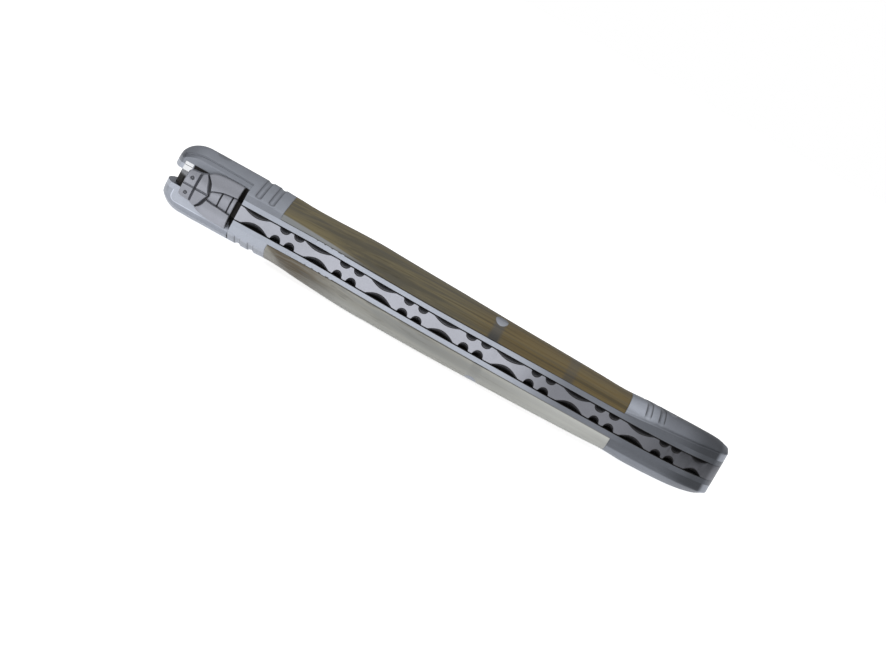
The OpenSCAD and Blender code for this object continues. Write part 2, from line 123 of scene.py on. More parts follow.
class KnifeColours(bpy.types.PropertyGroup):
    steel: colour("Blasted Steel", "Bead blasted steel of the bolsters", (0.38, 0.405, 0.46))
    liner: colour("Liner Steel", "Brushed steel of the liners", (0.36, 0.385, 0.44))
    spring: colour("Spring Steel", "Filed steel of the back spring", (0.375, 0.385, 0.43))
    bee: colour("Bee Steel", "Carved steel of the bee", (0.278, 0.286, 0.32))
    blade: colour("Blade Steel", "Satin steel of the blade", (0.38, 0.39, 0.415))
    pin: colour("Pin Steel", "Pins and rivets", (0.27, 0.285, 0.32))
    # Also the colour of the painted shade in the gaps, the slot and the filed and carved grooves
    marks_and_shade: colour("File Marks", "Darkened bottoms of filed grooves", (0.012, 0.010, 0.009))
    olive: colour("Olive Horn", "Body colour of the right scale", (0.094, 0.084, 0.058))
    moss: colour("Moss Horn", "Light streaks of the right scale", (0.190, 0.158, 0.084))
    amber: colour("Amber Horn", "Warm rear of the right scale", (0.142, 0.096, 0.030))
    pale: colour("Pale Horn", "Body colour of the left scale", (0.37, 0.375, 0.36))
    cream: colour("Cream Horn", "Light streaks of the left scale", (0.47, 0.46, 0.41))
    ivory: colour("Ivory Horn", "Light rear of the left scale", (0.70, 0.71, 0.68))
    brown: colour("Brown Horn", "Dark front of the left scale", (0.13, 0.098, 0.055))
    floor: colour("Floor", "Studio floor", (0.82, 0.82, 0.82))


# Shapes. Shares are of the handle's length along it and of its height or half thickness across it.
SPINE_SHARES = [[0.133, 0.076], [0.2, 0.098], [0.267, 0.114], [0.367, 0.057], [0.467, 0.009], [0.55, 0],
                [0.65, 0], [0.75, 0], [0.825, 0.007], [0.892, 0.043], [0.942, 0.119], [0.9775, 0.226]]
BELLY_SHARES = [[0.133, 0.833], [0.217, 0.829], [0.333, 0.819], [0.458, 0.843], [0.583, 0.919],
                [0.7, 0.988], [0.775, 1], [0.85, 0.983], [0.917, 0.94], [0.971, 0.88]]
FULL_SHARES = [[0.04, 0.962], [0.12, 0.962], [0.165, 0.952], [0.195, 0.934], [0.23, 0.926],
               [0.267, 0.946], [0.33, 0.992], [0.36, 1], [0.39, 0.99], [0.5, 0.962], [0.583, 0.934],
               [0.683, 0.9], [0.76, 0.866], [0.8, 0.84], [0.822, 0.844], [0.85, 0.872], [0.892, 0.87],
               [0.942, 0.856], [0.979, 0.8], [1, 0.66]]
FACET_SHARES = [[0.175, 0.575], [0.192, 0.55], [0.225, 0.46], [0.26, 0.384], [0.5, 0.38], [0.8, 0.384],
                [0.823, 0.43], [0.875, 0.507], [0.955, 0.575], [1, 0.6]]
CROWN_SHARES = [[0.19, 0.4], [0.26, 0.27], [0.35, 0.25], [0.5, 0.22], [0.65, 0.19], [0.8, 0.18], [1, 0.18]]
FOOT_SHARES = [[0.35, 0.49], [0.6, 0.44], [0.8, 0.38]]
FALL_POWER_SHARES = [[0, 2.2], [0.45, 2], [0.62, 1.6], [1, 1.5]]
ROUND_SHARES = [[0.19, 0], [0.26, 1], [0.5, 1], [0.79, 1], [0.85, 0.5], [1, 0.3]]
UNDER_SHARES = [[0.2, 0.236], [0.333, 0.255], [0.48, 0.238], [0.68, 0.248], [0.75, 0.262],
                [0.833, 0.3], [0.892, 0.367], [0.942, 0.448], [1, 0.505]]
BUTT_TOP_SHARE = 0.438
BUTT_FOOT_SHARE = 0.745
EDGE_LIMIT_SHARE = 0.8
EDGE_RISE_MIN = 0.1
FRONT_RISE_POWER = 1.35
LOBE_DROP = 1.7
LOBE_RUN = 4.8
LOBE_DEPTH = 3.7

# Seat of the bee, its floor falling off to both sides
SEAT_X = 15.7
SEAT_REAR_Y = 4.4
SEAT_FRONT_Y = 5.0
SEAT_FALL = 0.7
SEAT_FLAT_Z = 3.6
SEAT_LINE_Z = 4.75
SEAT_LINE_INSET = 0.9
SEAT_FALL_POWER = 1.2
FLOOR_STEPS = 14
FLOOR_END_SHARE = 0.96
MID_SHARE = 0.3

# Flutes filed across the bolsters
FLUTE_FADE = 0.8
FLUTE_PITCH = 2.8
FRONT_FLUTE_INSET = 2.9
REAR_FLUTE_INSET = 4.3
REAR_FLUTE_SLANT = 0.13
LEFT_REAR_START = 5.5
WORN_SHARE = 0.5
WORN_DOWN = (8, 12)
SCALE_RIVETS = [[0.3, 0.595], [0.713, 0.3]]


def through(table, x):
    """Smooth curve through a table of points, level outside them."""
    px, py = np.array(table, float).T
    last = len(px) - 1
    before = np.maximum(np.arange(last + 1) - 1, 0)
    after = np.minimum(np.arange(last + 1) + 1, last)
    slope = (py[after] - py[before]) / (px[after] - px[before])
    x = np.asarray(x, float)
    i = np.clip(np.searchsorted(px, x, side="right") - 1, 0, last - 1)
    width = px[i + 1] - px[i]
    t = np.clip((x - px[i]) / width, 0, 1)
    t2, t3 = t * t, t * t * t
    return ((2 * t3 - 3 * t2 + 1) * py[i] + (t3 - 2 * t2 + t) * width * slope[i]
            + (3 * t2 - 2 * t3) * py[i + 1] + (t3 - t2) * width * slope[i + 1])


def ease(edge_a, edge_b, x):
    """Smooth step from 0 at edge_a to 1 at edge_b."""
    t = np.clip((np.asarray(x, float) - edge_a) / (edge_b - edge_a), 0, 1)
    return t * t * (3 - 2 * t)


class Outline:
    """The handle's lines and the height of its sides, in the drawing frame."""

    def __init__(self, sizes):
        self.length = sizes.length / MM
        self.height = sizes.height / MM
        self.thick = sizes.thickness / MM
        self.lobe_r = sizes.lobe_radius / MM
        self.front_seam = sizes.front_seam / MM
        self.rear_seam = sizes.rear_seam / MM
        self.slot_z = sizes.slot / MM / 2
        self.liner_z = self.slot_z + sizes.liner / MM
        self.edge_round = sizes.edge_round / MM
        self.chamfer = sizes.seam_chamfer / MM
        self.flute_w = sizes.flute_width / MM
        self.flute_depth = sizes.flute_depth / MM
        self.flute_start = 0
        self.pivot = (self.lobe_r, LOBE_DROP + self.lobe_r)
        self.flutes = [(self.front_seam - FRONT_FLUTE_INSET - FLUTE_PITCH, 0),
                       (self.front_seam - FRONT_FLUTE_INSET, 0),
                       (self.rear_seam + REAR_FLUTE_INSET, REAR_FLUTE_SLANT),
                       (self.rear_seam + REAR_FLUTE_INSET + FLUTE_PITCH, REAR_FLUTE_SLANT)]
        self.spine_table = [[self.pivot[0], LOBE_DROP]] + self.from_shares(SPINE_SHARES)
        self.belly_table = [[self.pivot[0], self.pivot[1] + self.lobe_r]] + self.from_shares(BELLY_SHARES)

    def from_shares(self, shares):
        return [[s[0] * self.length, s[1] * self.height] for s in shares]

    def line(self, table, side, butt_y, x):
        """The spine (side -1) or the belly (side 1) with the round lobe and the round butt."""
        x = np.asarray(x, float)
        (ax, ay), (ex, ey) = table[-2:]
        run = self.length - ex
        slope = (ey - ay) / (ex - ax)
        t = 1 - np.sqrt(np.clip((self.length - x) / run, 0, 1))
        butt = (1 - t) ** 2 * ey + 2 * t * (1 - t) * (ey + run * slope) + t * t * butt_y
        rise = np.sqrt(np.clip(self.lobe_r ** 2 - (self.pivot[0] - x) ** 2, 0, None))
        lobe = self.pivot[1] + side * rise
        return np.where(x < self.pivot[0], lobe, np.where(x > ex, butt, through(table, x)))

    def spine(self, x):
        return self.line(self.spine_table, -1, BUTT_TOP_SHARE * self.height, x)

    def belly(self, x):
        return self.line(self.belly_table, 1, BUTT_FOOT_SHARE * self.height, x)

    def top(self, x):
        """The spine, filed away to the seat of the bee at the front."""
        x = np.asarray(x, float)
        seat = SEAT_FRONT_Y + (SEAT_REAR_Y - SEAT_FRONT_Y) * x / SEAT_X
        return np.where(x > SEAT_X, self.spine(x), np.maximum(self.spine(x), seat))

    def seat_fall(self, x):
        """How far the floor of the seat falls off on its way out to the side."""
        return np.where(x > SEAT_X, 0, np.minimum(SEAT_FALL, (self.belly(x) - self.top(x)) / 4))

    def full(self, x):
        run = np.clip((LOBE_RUN - x) / LOBE_RUN, 0, 1)
        tuck = LOBE_DEPTH * (1 - np.sqrt(1 - run ** 2))
        return self.thick / 2 * through(FULL_SHARES, x / self.length) - tuck

    def limit(self, x):
        return self.liner_z + EDGE_LIMIT_SHARE * (self.full(x) - self.liner_z)

    def edge(self, x):
        facet = self.thick / 2 * through(FACET_SHARES, x / self.length)
        return np.minimum(self.limit(x), np.maximum(facet, self.liner_z + EDGE_RISE_MIN))

    def foot(self, x):
        foot = self.thick / 2 * through(FOOT_SHARES, x / self.length)
        return np.minimum(self.limit(x), np.maximum(self.edge(x), foot))

    def crown(self, x):
        return np.minimum(self.height * through(CROWN_SHARES, x / self.length),
                          (self.belly(x) - self.spine(x)) / 2)

    def side(self, x, y):
        """Height of the side over the middle plane."""
        down, deep = y - self.spine(x), self.crown(x)
        height, full = self.belly(x) - self.spine(x), self.full(x)
        weight = np.clip(through(ROUND_SHARES, x / self.length), 0, 1)
        s = np.clip(1 - down / deep, 0, 1)
        rise = (1 - weight) * (1 - s ** FRONT_RISE_POWER) + weight * np.sqrt(1 - s * s)
        power = through(FALL_POWER_SHARES, x / self.length)
        fall = np.clip((down - deep) / (height - deep), 0, 1) ** power
        z = np.where(down < deep, self.edge(x) + (full - self.edge(x)) * rise,
                     full - (full - self.foot(x)) * fall)
        cut = 0 * z
        for centre, slant in self.flutes:
            reach = (x - centre + slant * down) / (self.flute_w / 2)
            cut = np.maximum(cut, self.flute_depth * (1 - reach ** 2))
        worn = 1 - WORN_SHARE * ease(*WORN_DOWN, down)
        inside = np.minimum(down - self.flute_start, height - down)
        return z - cut * worn * np.clip(inside / FLUTE_FADE, 0, 1)

    def section(self, places, steps=26):
        """Closed cross-sections of a side piece: an array of places, points and x, y, z."""
        x = np.asarray(places, float)[:, None]
        flat, low = self.top(x), self.belly(x)
        top = flat + self.seat_fall(x)
        mid = np.maximum(self.spine(x) + self.crown(x), top + MID_SHARE * (low - top))
        weight = np.clip(through(ROUND_SHARES, x / self.length), 0, 1)
        corner_z = self.side(x, top)
        foot_z = self.side(x, low)
        r = np.minimum(np.minimum(self.edge_round, (low - top) / 6), (foot_z - self.liner_z) / 3)
        flat_start = np.arccos(1 - np.clip(r / (mid - top), 0, 1))
        start = (1 - weight) * flat_start + weight * r / (self.full(x) - self.edge(x) + r)
        turn = start + (math.pi / 2 - start) * np.linspace(0, 1, steps)[None, :]
        upper = mid + (top - mid) * np.cos(turn)
        stop = np.arcsin(1 - np.clip(r / (low - mid), 0, 1))
        lower = mid + (low - mid) * np.sin(stop * np.linspace(0, 1, steps + 1)[None, 1:])
        bend = np.array([0, 1 / 3, 2 / 3])[None, :]

        def corner(ya, za, yc, zc, yb, zb, t):
            return ((1 - t) ** 2 * ya + 2 * t * (1 - t) * yc + t * t * yb,
                    (1 - t) ** 2 * za + 2 * t * (1 - t) * zc + t * t * zb)

        y1, z1 = corner(top, corner_z - r, top, corner_z, upper[:, :1], self.side(x, upper[:, :1]), bend)
        last = lower[:, -1:]
        y2, z2 = corner(last, self.side(x, last), low, foot_z, low, foot_z - r, bend + 1 / 3)
        inner = self.liner_z + 0 * x
        flat_z = np.minimum(SEAT_FLAT_Z, (self.liner_z + corner_z) / 2)
        out = np.linspace(0, FLOOR_END_SHARE, FLOOR_STEPS)[None, :]
        floor_z = flat_z + (corner_z - r - flat_z) * out
        line_z = np.minimum(SEAT_LINE_Z, corner_z - SEAT_LINE_INSET)
        beyond = np.clip((floor_z - line_z) / (corner_z - line_z), 0, 1)
        floor_y = flat + (top - flat) * beyond ** SEAT_FALL_POWER
        y = np.concatenate([flat, floor_y, y1, upper, lower, y2, low], axis=1)
        z = np.concatenate([inner, floor_z, z1, self.side(x, upper), self.side(x, lower), z2, inner], axis=1)
        return np.stack([x + 0 * y, y, z], axis=2)


def inset(ring, amount):
    """A closed cross-section moved inward by an amount."""
    around = np.roll(ring, -1, 0) - np.roll(ring, 1, 0)
    length = np.hypot(around[:, 1], around[:, 2])[:, None] + 1e-9
    out = np.stack([0 * around[:, 0], -around[:, 2], around[:, 1]], axis=1) / length
    area = np.sum(ring[:, 1] * np.roll(ring[:, 2], -1) - np.roll(ring[:, 1], -1) * ring[:, 2])
    return ring + (amount if area > 0 else -amount) * out


def place(points):
    """Drawing frame in millimetres to the part's frame in metres."""
    sizes = bpy.context.scene.knife_handle
    moved = np.array(points, float) * MM
    moved[..., 0] -= sizes.length / 2
    moved[..., 1] -= sizes.height / 2
    moved[..., 2] += MIDDLE_Z
    return moved


def loft_faces(rings, around):
    """Quads between closed cross-sections, and a cap on each end."""
    faces = []
    for j in range(rings - 1):
        for i in range(around):
            a, b = j * around + i, j * around + (i + 1) % around
            faces.append((a, b, b + around, a + around))
    faces.append(tuple(range(around)))
    faces.append(tuple((rings - 1) * around + i for i in range(around)))
    return faces


def new_piece(name, points, material, body, node, faces=None, sharp=32, marks=None, rounded=None):
    """A smooth shaded mesh piece that rides on a body and stands for a CAD node.

    Points in rows are cross-sections, and are lofted. Other points come with their faces.
    """
    faces = faces or loft_faces(*points.shape[:2])
    corners = np.clip(place(points), CAD_BOX[0], CAD_BOX[1]).reshape(-1, 3)
    mesh = bpy.data.meshes.new(name)
    mesh.from_pydata([tuple(p) for p in corners], [], faces)
    work = bmesh.new()
    work.from_mesh(mesh)
    for label, values in (("marks_and_shade", marks), ("rounded", rounded)):
        if values is not None:
            layer = work.verts.layers.float.new(label)
            for vertex, value in zip(work.verts, np.ravel(values)):
                vertex[layer] = value
    bmesh.ops.remove_doubles(work, verts=work.verts, dist=1e-7)
    bmesh.ops.recalc_face_normals(work, faces=work.faces)
    work.to_mesh(mesh)
    work.free()
    mesh.shade_smooth()
    mesh.set_sharp_from_angle(angle=math.radians(sharp))
    mesh.materials.append(material)
    piece = bpy.data.objects.new(name, mesh)
    bpy.context.scene.collection.objects.link(piece)
    if body:
        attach(piece, body)
    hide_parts(node)
    return piece


def drawn(corner):
    """A point of the part's frame in the drawing frame."""
    sizes = bpy.context.scene.knife_handle
    return (corner + Vector((sizes.length / 2, sizes.height / 2, -MIDDLE_Z))) / MM


def mirrored(points, side):
    return points * np.array([1, 1, side])


# Shaders
class Shade:
    """A socket of a shader tree. Arithmetic on it adds Math nodes, and node() adds any other."""

    def __init__(self, tree, socket=None):
        self.tree = tree
        self.socket = socket

    def node(self, kind, settings=None, inputs=None, output=0):
        made = self.tree.nodes.new("ShaderNode" + kind)
        for name, value in (settings or {}).items():
            setattr(made, name, value)
        for name, value in (inputs or {}).items():
            if isinstance(value, Shade):
                self.tree.links.new(value.socket, made.inputs[name])
            else:
                made.inputs[name].default_value = value
        return Shade(self.tree, made.outputs[output] if made.outputs else None)

    def math(self, operation, a, b=0.0, clamp=False):
        return self.node("Math", {"operation": operation, "use_clamp": clamp}, {0: a, 1: b})

    def power(self, exponent):
        return self.math("POWER", self, exponent)

    def __add__(self, other):
        return self.math("ADD", self, other)

    def __sub__(self, other):
        return self.math("SUBTRACT", self, other)

    def __rsub__(self, other):
        return self.math("SUBTRACT", other, self)

    def __mul__(self, other):
        return self.math("MULTIPLY", self, other)

    def __truediv__(self, other):
        return self.math("DIVIDE", self, other)

    def __abs__(self):
        return self.math("ABSOLUTE", self)

    __radd__ = __add__
    __rmul__ = __mul__

    def root(self):
        return self.math("SQRT", self)

    def clamped(self):
        return self.math("ADD", self, 0.0, clamp=True)

    def smaller(self, other):
        return self.math("MINIMUM", self, other)

    def larger(self, other):
        return self.math("MAXIMUM", self, other)

    def between(self, low, high):
        """0 at low and below, 1 at high and above, smooth in between."""
        return self.node("MapRange", {"interpolation_type": "SMOOTHSTEP"},
                         {"Value": self, "From Min": low, "From Max": high})

    def below(self, low, high):
        """1 at low and below, 0 at high and above, smooth in between."""
        return 1 - self.between(low, high)

    def within(self, rise, fall):
        """1 between a soft edge that rises and one that falls, each given by its start and end."""
        return self.between(*rise) * self.below(*fall)


def mix(factor, a, b):
    """Colour a at 0 and colour b at 1."""
    a, b = (c if isinstance(c, Shade) else (*c[:3], 1) for c in (a, b))
    return factor.node("Mix", {"data_type": "RGBA"}, {0: factor, 6: a, 7: b}, output=2)


OWN = "knife_"


def new_material(name):
    material = bpy.data.materials.new(OWN + name)
    material.use_nodes = True
    material.node_tree.nodes.clear()
    return material, Shade(material.node_tree)


def finish_material(shade, sockets):
    surface = shade.node("BsdfPrincipled", {}, sockets)
    shade.node("OutputMaterial", {}, {"Surface": surface})


def stretched(shade, scale):
    """Position in the part's frame, in metres, times a scale for each axis."""
    where = shade.node("TexCoord", output="Object")
    return where.node("VectorMath", {"operation": "MULTIPLY"}, {0: where, 1: scale})


def axes(shade):
    where = shade.node("TexCoord", output="Object")
    return [where.node("SeparateXYZ", {}, {0: where}, output=k) for k in range(3)]


def drawn_axes(shade):
    """Position in the drawing frame, in millimetres."""
    sizes = bpy.context.scene.knife_handle
    x, y, z = axes(shade)
    return x / MM + sizes.length / 2 / MM, y / MM + sizes.height / 2 / MM, (z - MIDDLE_Z) / MM


def noise(vector, scale, detail=3.0, roughness=0.55):
    return vector.node("TexNoise", {}, {"Vector": vector, "Scale": scale, "Detail": detail,
                                       "Roughness": roughness})


# Marks on the steel, most of them painted light and shade, in the drawing frame. A pair is where a soft edge
# starts and ends.
GAP_MOUTH_X = SEAT_X - 0.25
GAP_LEFT = (-4.8, -2.2)
GAP_LEFT_SHIFT = 0.85
GAP_REAR_X = SEAT_X + 0.02
GAP_SLANT_Z = 2.4
GAP_SLANT = 0.24
SHADOW_SMUDGE_X = ((SEAT_X - 1.3, SEAT_X - 0.9), (SEAT_X - 0.1, SEAT_X))
SHADOW_SMUDGE_Z = (-4.6, -3.2)
SEAT_LOW_Y = (4.85, 5.1)
SEAT_LEFT_Z = 4.2
SEAT_RIGHT_Z = (4.35, 4.5)
WEDGE = {"x": ((3.95, 4.1), (6.6, 7.8)), "y": ((3.9, 4.2), (5.4, 5.6)), "z": ((2.2, 2.4), (3.3, 3.5))}
POLISHED_HIGHLIGHT = {"x": ((2.0, 2.3), (3.75, 3.9)), "z": ((1.5, 1.6), (3.25, 3.4))}
HIGHLIGHT_GREY = (0.66, 0.67, 0.69)
LINER_LINE = (0.03, 0.08)
SLOT_WALL_SHADE = (0.04, 0.08)
SLOT_WALL_Y = (3.5, 5.5)
SHANK_SHADE_Z = (1.6, 1.8)
TANG_X = (4.0, 4.4)
TANG_SHADE_Z = (0.3, 0.9)
TANG_SHADE = 0.3
MIDDLE = (-0.1, 0.1)
LEFT_LIP_Z = (4.2, 4.6)
SPINE_SIDE_Y = (6.0, 13.0)
FRONT_X = (88, 96)
RIGHT_SHADE_Z = (0.6, 2.6)
RIGHT_SHADE_FLAT = 0.35
LIT_WING_X = (8.4, 9.6)
LIT_WING_Z = (-3.0, -1.6)
RIM_X, RIM_Z, RIM_R = 3.7, 3.55, 1.2
RIM_BEYOND = (-0.15, 0.0)
RIM_LINE = (0.02, 0.14)
RIM_END_X = (7.5, 11.0)
BEYOND_END_X = (23, 24)
RIM_LOW_Y = (7.0, 9.5)
RIM_BRIGHT = 0.5
BEYOND_DARK = 0.2
BROW = (0.1, 0.5)
BROW_END_X = (SEAT_X - 0.1, SEAT_X)
BROW_DARK = 0.34
HEEL_X = 19.5
BLADE_EDGE_Y = 6.9
EDGE_RISE = 7.55
EDGE_BEND_SHARE = 0.62
EDGE_POWER = 2.4
HONED = (0.45, 0.6)
HONED_FADE = 0.3
HONED_BRIGHT = 0.35


def seat_painted_shadow(x, y, z):
    """Painted shadow in the gap behind the bee, a smudge of painted shade ahead of it, and painted shade in
    the wedge beside the polished patch, under the edge of the bee.
    """
    mouth = GAP_MOUTH_X - z.between(*GAP_LEFT) * GAP_LEFT_SHIFT
    slant = GAP_REAR_X - (z - GAP_SLANT_Z).larger(0.0) * GAP_SLANT
    gap = (x - mouth).between(-0.12, 0.12) * (x - slant).below(-0.02, 0.02)
    shadow_smudge = x.within(*SHADOW_SMUDGE_X) * z.between(*SHADOW_SMUDGE_Z)
    seat = (y + (z + SEAT_LEFT_Z).smaller(0.0)).below(*SEAT_LOW_Y) * z.below(*SEAT_RIGHT_Z)
    wedge = x.within(*WEDGE["x"]) * y.within(*WEDGE["y"]) * z.within(*WEDGE["z"])
    return (gap.larger(shadow_smudge * 0.6) * seat).larger(wedge)


def blade_edge(x, y):
    """1 on the honed strip along the blade's edge."""
    length = bpy.context.scene.knife_handle.length
    share = (x - HEEL_X) / (BLADE[1].x / MM + length / 2 / MM - HEEL_X)
    bend = ((share - EDGE_BEND_SHARE) / (1 - EDGE_BEND_SHARE)).clamped().power(EDGE_POWER)
    above = y - BLADE_EDGE_Y - EDGE_RISE * bend
    return above.below(*HONED) * x.between(HEEL_X, HEEL_X + HONED_FADE)


def seat_painted_light(x, y, z, left, rounded):
    """Factor for a painted highlight line round the left floor of the seat, painted shade on the side beyond
    it and painted shade on the right brow.
    """
    nose = RIM_X - x
    brink = abs(z) - RIM_Z
    into = RIM_R - (nose.larger(0.0) * nose.larger(0.0) + brink.larger(0.0) * brink.larger(0.0)).root()
    beyond = into.below(*RIM_BEYOND) * x.below(*BEYOND_END_X)
    line = abs(into).below(*RIM_LINE) * x.below(*RIM_END_X)
    brow = abs(rounded - 0.5).below(*BROW) * (1 - left) * x.below(*BROW_END_X)
    rim = 1 + y.below(*RIM_LOW_Y) * left * (RIM_BRIGHT * line - BEYOND_DARK * beyond)
    return rim * (1 - BROW_DARK * brow)


def steel_material(name, base, rough, metal, mottle, grain, scratches=0.0, inside=False, ground=False,
                   shank=False, right=0.0, painted_shading=(), seat=False, wings=0.0):
    """Blasted or filed steel with mottling, grain, dark marks and painted shade, and bands of painted
    shading, on the base colour of that name.

    Each band of painted shading is where along the handle it grows, from x to x, and how much it takes away
    on flat faces, on the right side and on the left side. A negative amount is a patch of painted light.
    Right paints shade on the right side, and wings paints light on the left wing of the bee.
    """
    sizes = bpy.context.scene.knife_handle
    colours = bpy.context.scene.knife_colours
    red, green, blue = getattr(colours, base)
    material, shade = new_material(name)
    x, y, z = drawn_axes(shade)
    cloud = noise(stretched(shade, (1, 1, 1)), 420, 4)
    fine = noise(stretched(shade, (1, 1, 1)), 5200, 2)
    along = noise(stretched(shade, (4200, 160, 400) if ground else (260, 5200, 5200)), 1, 3)

    marks_and_shade = shade.node("Attribute", {"attribute_name": "marks_and_shade"}, {}, output="Fac").larger(seat_painted_shadow(x, y, z))
    # Painted shade down the walls of the slot
    if inside:
        wall = abs(abs(z) - sizes.slot / 2 / MM).below(*SLOT_WALL_SHADE)
        marks_and_shade = marks_and_shade.larger(wall * y.below(*SLOT_WALL_Y))
    # Painted shade on the pin shanks in the slot
    if shank:
        marks_and_shade = marks_and_shade.larger(abs(z).below(*SHANK_SHADE_Z))
    # Painted shade on the tang between the lobes, darkest on its lower half
    if ground:
        low = TANG_SHADE + (1 - TANG_SHADE) * z.below(*TANG_SHADE_Z)
        marks_and_shade = marks_and_shade.larger(x.below(*TANG_X) * low)
    marks_and_shade = marks_and_shade.clamped()

    rounded = shade.node("Attribute", {"attribute_name": "rounded"}, {}, output="Fac")
    left = z.below(*MIDDLE)
    flat = (1 - rounded).larger(left * abs(z).below(*LEFT_LIP_Z))
    spine_side = y.below(*SPINE_SIDE_Y)
    tone = 1 + mottle * (cloud - 0.5) + 1.6 * mottle * (fine - 0.5) + scratches * (along - 0.5)
    # Painted shade on the right side, stronger on the flat faces
    shadow = spine_side * x.below(*FRONT_X) * z.between(*RIGHT_SHADE_Z)
    tone = tone * (1 - shadow * (RIGHT_SHADE_FLAT + (1 - RIGHT_SHADE_FLAT) * flat) * right)
    # Painted shading: darker bands towards the butt, and painted light on the butt face
    for start, end, on_flat, on_right, on_left in painted_shading:
        on_side = on_right + (on_left - on_right) * left
        tone = tone * (1 - spine_side * x.between(start, end) * (on_side + (on_flat - on_side) * flat))
    # Painted light on the left wing of the bee
    tone = tone * (1 + wings * x.between(*LIT_WING_X) * z.below(*LIT_WING_Z))
    # Painted highlight and painted shade round the seat of the bee
    if seat:
        tone = tone * seat_painted_light(x, y, z, left, rounded)
    if ground:
        tone = tone * (1 + HONED_BRIGHT * blade_edge(x, y))

    lit = shade.node("CombineColor", {}, {0: tone * red, 1: tone * green, 2: tone * blue})
    # Painted highlight: the polished patch ahead of the bee's head, lighter grey and less rough, with a dark
    # line along the liner's edge
    polish = x.within(*POLISHED_HIGHLIGHT["x"]) * z.within(*POLISHED_HIGHLIGHT["z"])
    lit = mix(polish, lit, HIGHLIGHT_GREY)
    liner_z = Outline(sizes).liner_z
    marks_and_shade = marks_and_shade.larger(polish * abs(z - liner_z).below(*LINER_LINE) * 0.8)
    shaded = mix(marks_and_shade, lit, colours.marks_and_shade)
    surface_rough = (rough + 0.25 * mottle * (cloud - 0.5)) * (1 - 0.6 * polish) + 0.3 * marks_and_shade
    height = fine * 0.6 + along * (0.4 + scratches)
    bump = shade.node("Bump", {}, {"Strength": grain, "Distance": 0.00004, "Height": height})
    finish_material(shade, {"Base Color": shaded, "Metallic": metal - 0.6 * marks_and_shade,
                            "Roughness": surface_rough.clamped(), "Normal": bump})
    return material


# In these finishes right, wings, seat, inside, shank and the tang of ground add painted light or shade, and
# the last band of painted shading, with negative amounts, is painted light on the butt face
STEELS = {
    "blasted_steel": {"base": "steel", "rough": 0.46, "metal": 0.92, "mottle": 0.16, "grain": 0.35,
                      "right": 0.45, "seat": True,
                      "painted_shading": ((96, 97, 0.69, 0.15, 0.42), (101, 107, 0, 0.46, 0),
                                  (108, 116, 0.55, 0.4, 0.3), (117.8, 118.8, -4.4, -0.8, -1.0))},
    "liner_steel": {"base": "liner", "rough": 0.42, "metal": 0.92, "mottle": 0.12, "grain": 0.3,
                    "scratches": 0.1, "inside": True, "right": 0.04,
                    "painted_shading": ((72, 88, 0.56, 0, 0), (95, 102, 0.26, 0, 0), (112, 116, 0.4, 0, 0),
                                (117.8, 118.8, -0.7, 0, 0))},
    "spring_steel": {"base": "spring", "rough": 0.45, "metal": 0.92, "mottle": 0.14, "grain": 0.35,
                     "scratches": 0.06,
                     "painted_shading": ((72, 85, 0.52, 0, 0), (94, 116, 0.56, 0, 0), (117.8, 118.8, -1.0, 0, 0))},
    "bee_steel": {"base": "bee", "rough": 0.45, "metal": 0.92, "mottle": 0.16, "grain": 0.4,
                  "right": 0.06, "wings": 0.2},
    "pin_steel": {"base": "pin", "rough": 0.38, "metal": 0.9, "mottle": 0.1, "grain": 0.2, "shank": True},
    "blade_steel": {"base": "blade", "rough": 0.44, "metal": 0.96, "mottle": 0.08, "grain": 0.2,
                    "scratches": 0.3, "ground": True},
}


def steel(name):
    """The steel of this name, made once and shared by the pieces that have it."""
    return bpy.data.materials.get(OWN + name) or steel_material(name, **STEELS[name])


# Horn: its grain, as a scale for each axis, the facet along its front with its painted reflection and warm
# sheen, and the shadows in it, with a painted shadow line at the liner
HORN_WIDE = (14, 420, 420)
HORN_NARROW = (26, 1500, 1500)
HORN_CLOUD = (60, 160, 160)
FACET_X = 23.5
FACET_Z = 3.9
FACET_SLOPE = 0.045
FACET_END_X = (33.0, 45.0)
FACET_REFLECTION_GREY = (0.31, 0.325, 0.335)
WARM_EDGE = ((-0.1, 0.2), (0.5, 2.2))
WARM_END_X = (29.0, 40.0)
PAINTED_WARM_SHEEN = (0.24, 0.20, 0.10)
SEAM_EDGE = (0.08, 0.2)
SEAM_LOW_Y = (8.0, 12.0)
SEAM_SHADOW = (0.03, 0.028, 0.025)
REAR_X = (60, 92)
FLANK_X, FLANK_Z = (30, 42), (4.3, 5.8)
CORNER_Z = 2.6
CORNER_SLOPE = 0.5
CORNER_FADE = 0.8
CORNER_END_X = (25.5, 27.5)
CORNER_LOW_Y = (5.0, 8.0)
SHANK_EDGE = (0.6, 1.5)
SHANK_LOW_Y = (-0.4, 0.6)
SHANK_DEEP_Z = (3.0, 4.6)


def horn_painted_reflection(x, y, z, shaded):
    """Painted reflection: the grey facet and the warm sheen over it, and a painted shadow line at the liner,
    mixed over the horn.
    """
    liner_z = Outline(bpy.context.scene.knife_handle).liner_z
    over = z - (FACET_Z - (x - FACET_X) * FACET_SLOPE)
    facet = over.below(-0.15, 0.15) * z.between(0, 0.1) * x.below(*FACET_END_X)
    shaded = mix(facet * 0.9, shaded, FACET_REFLECTION_GREY)
    shaded = mix(over.within(*WARM_EDGE) * x.below(*WARM_END_X) * 0.3, shaded, PAINTED_WARM_SHEEN)
    seam = (abs(z) - liner_z).below(*SEAM_EDGE) * y.below(*SEAM_LOW_Y)
    return mix(seam * 0.7, shaded, SEAM_SHADOW)


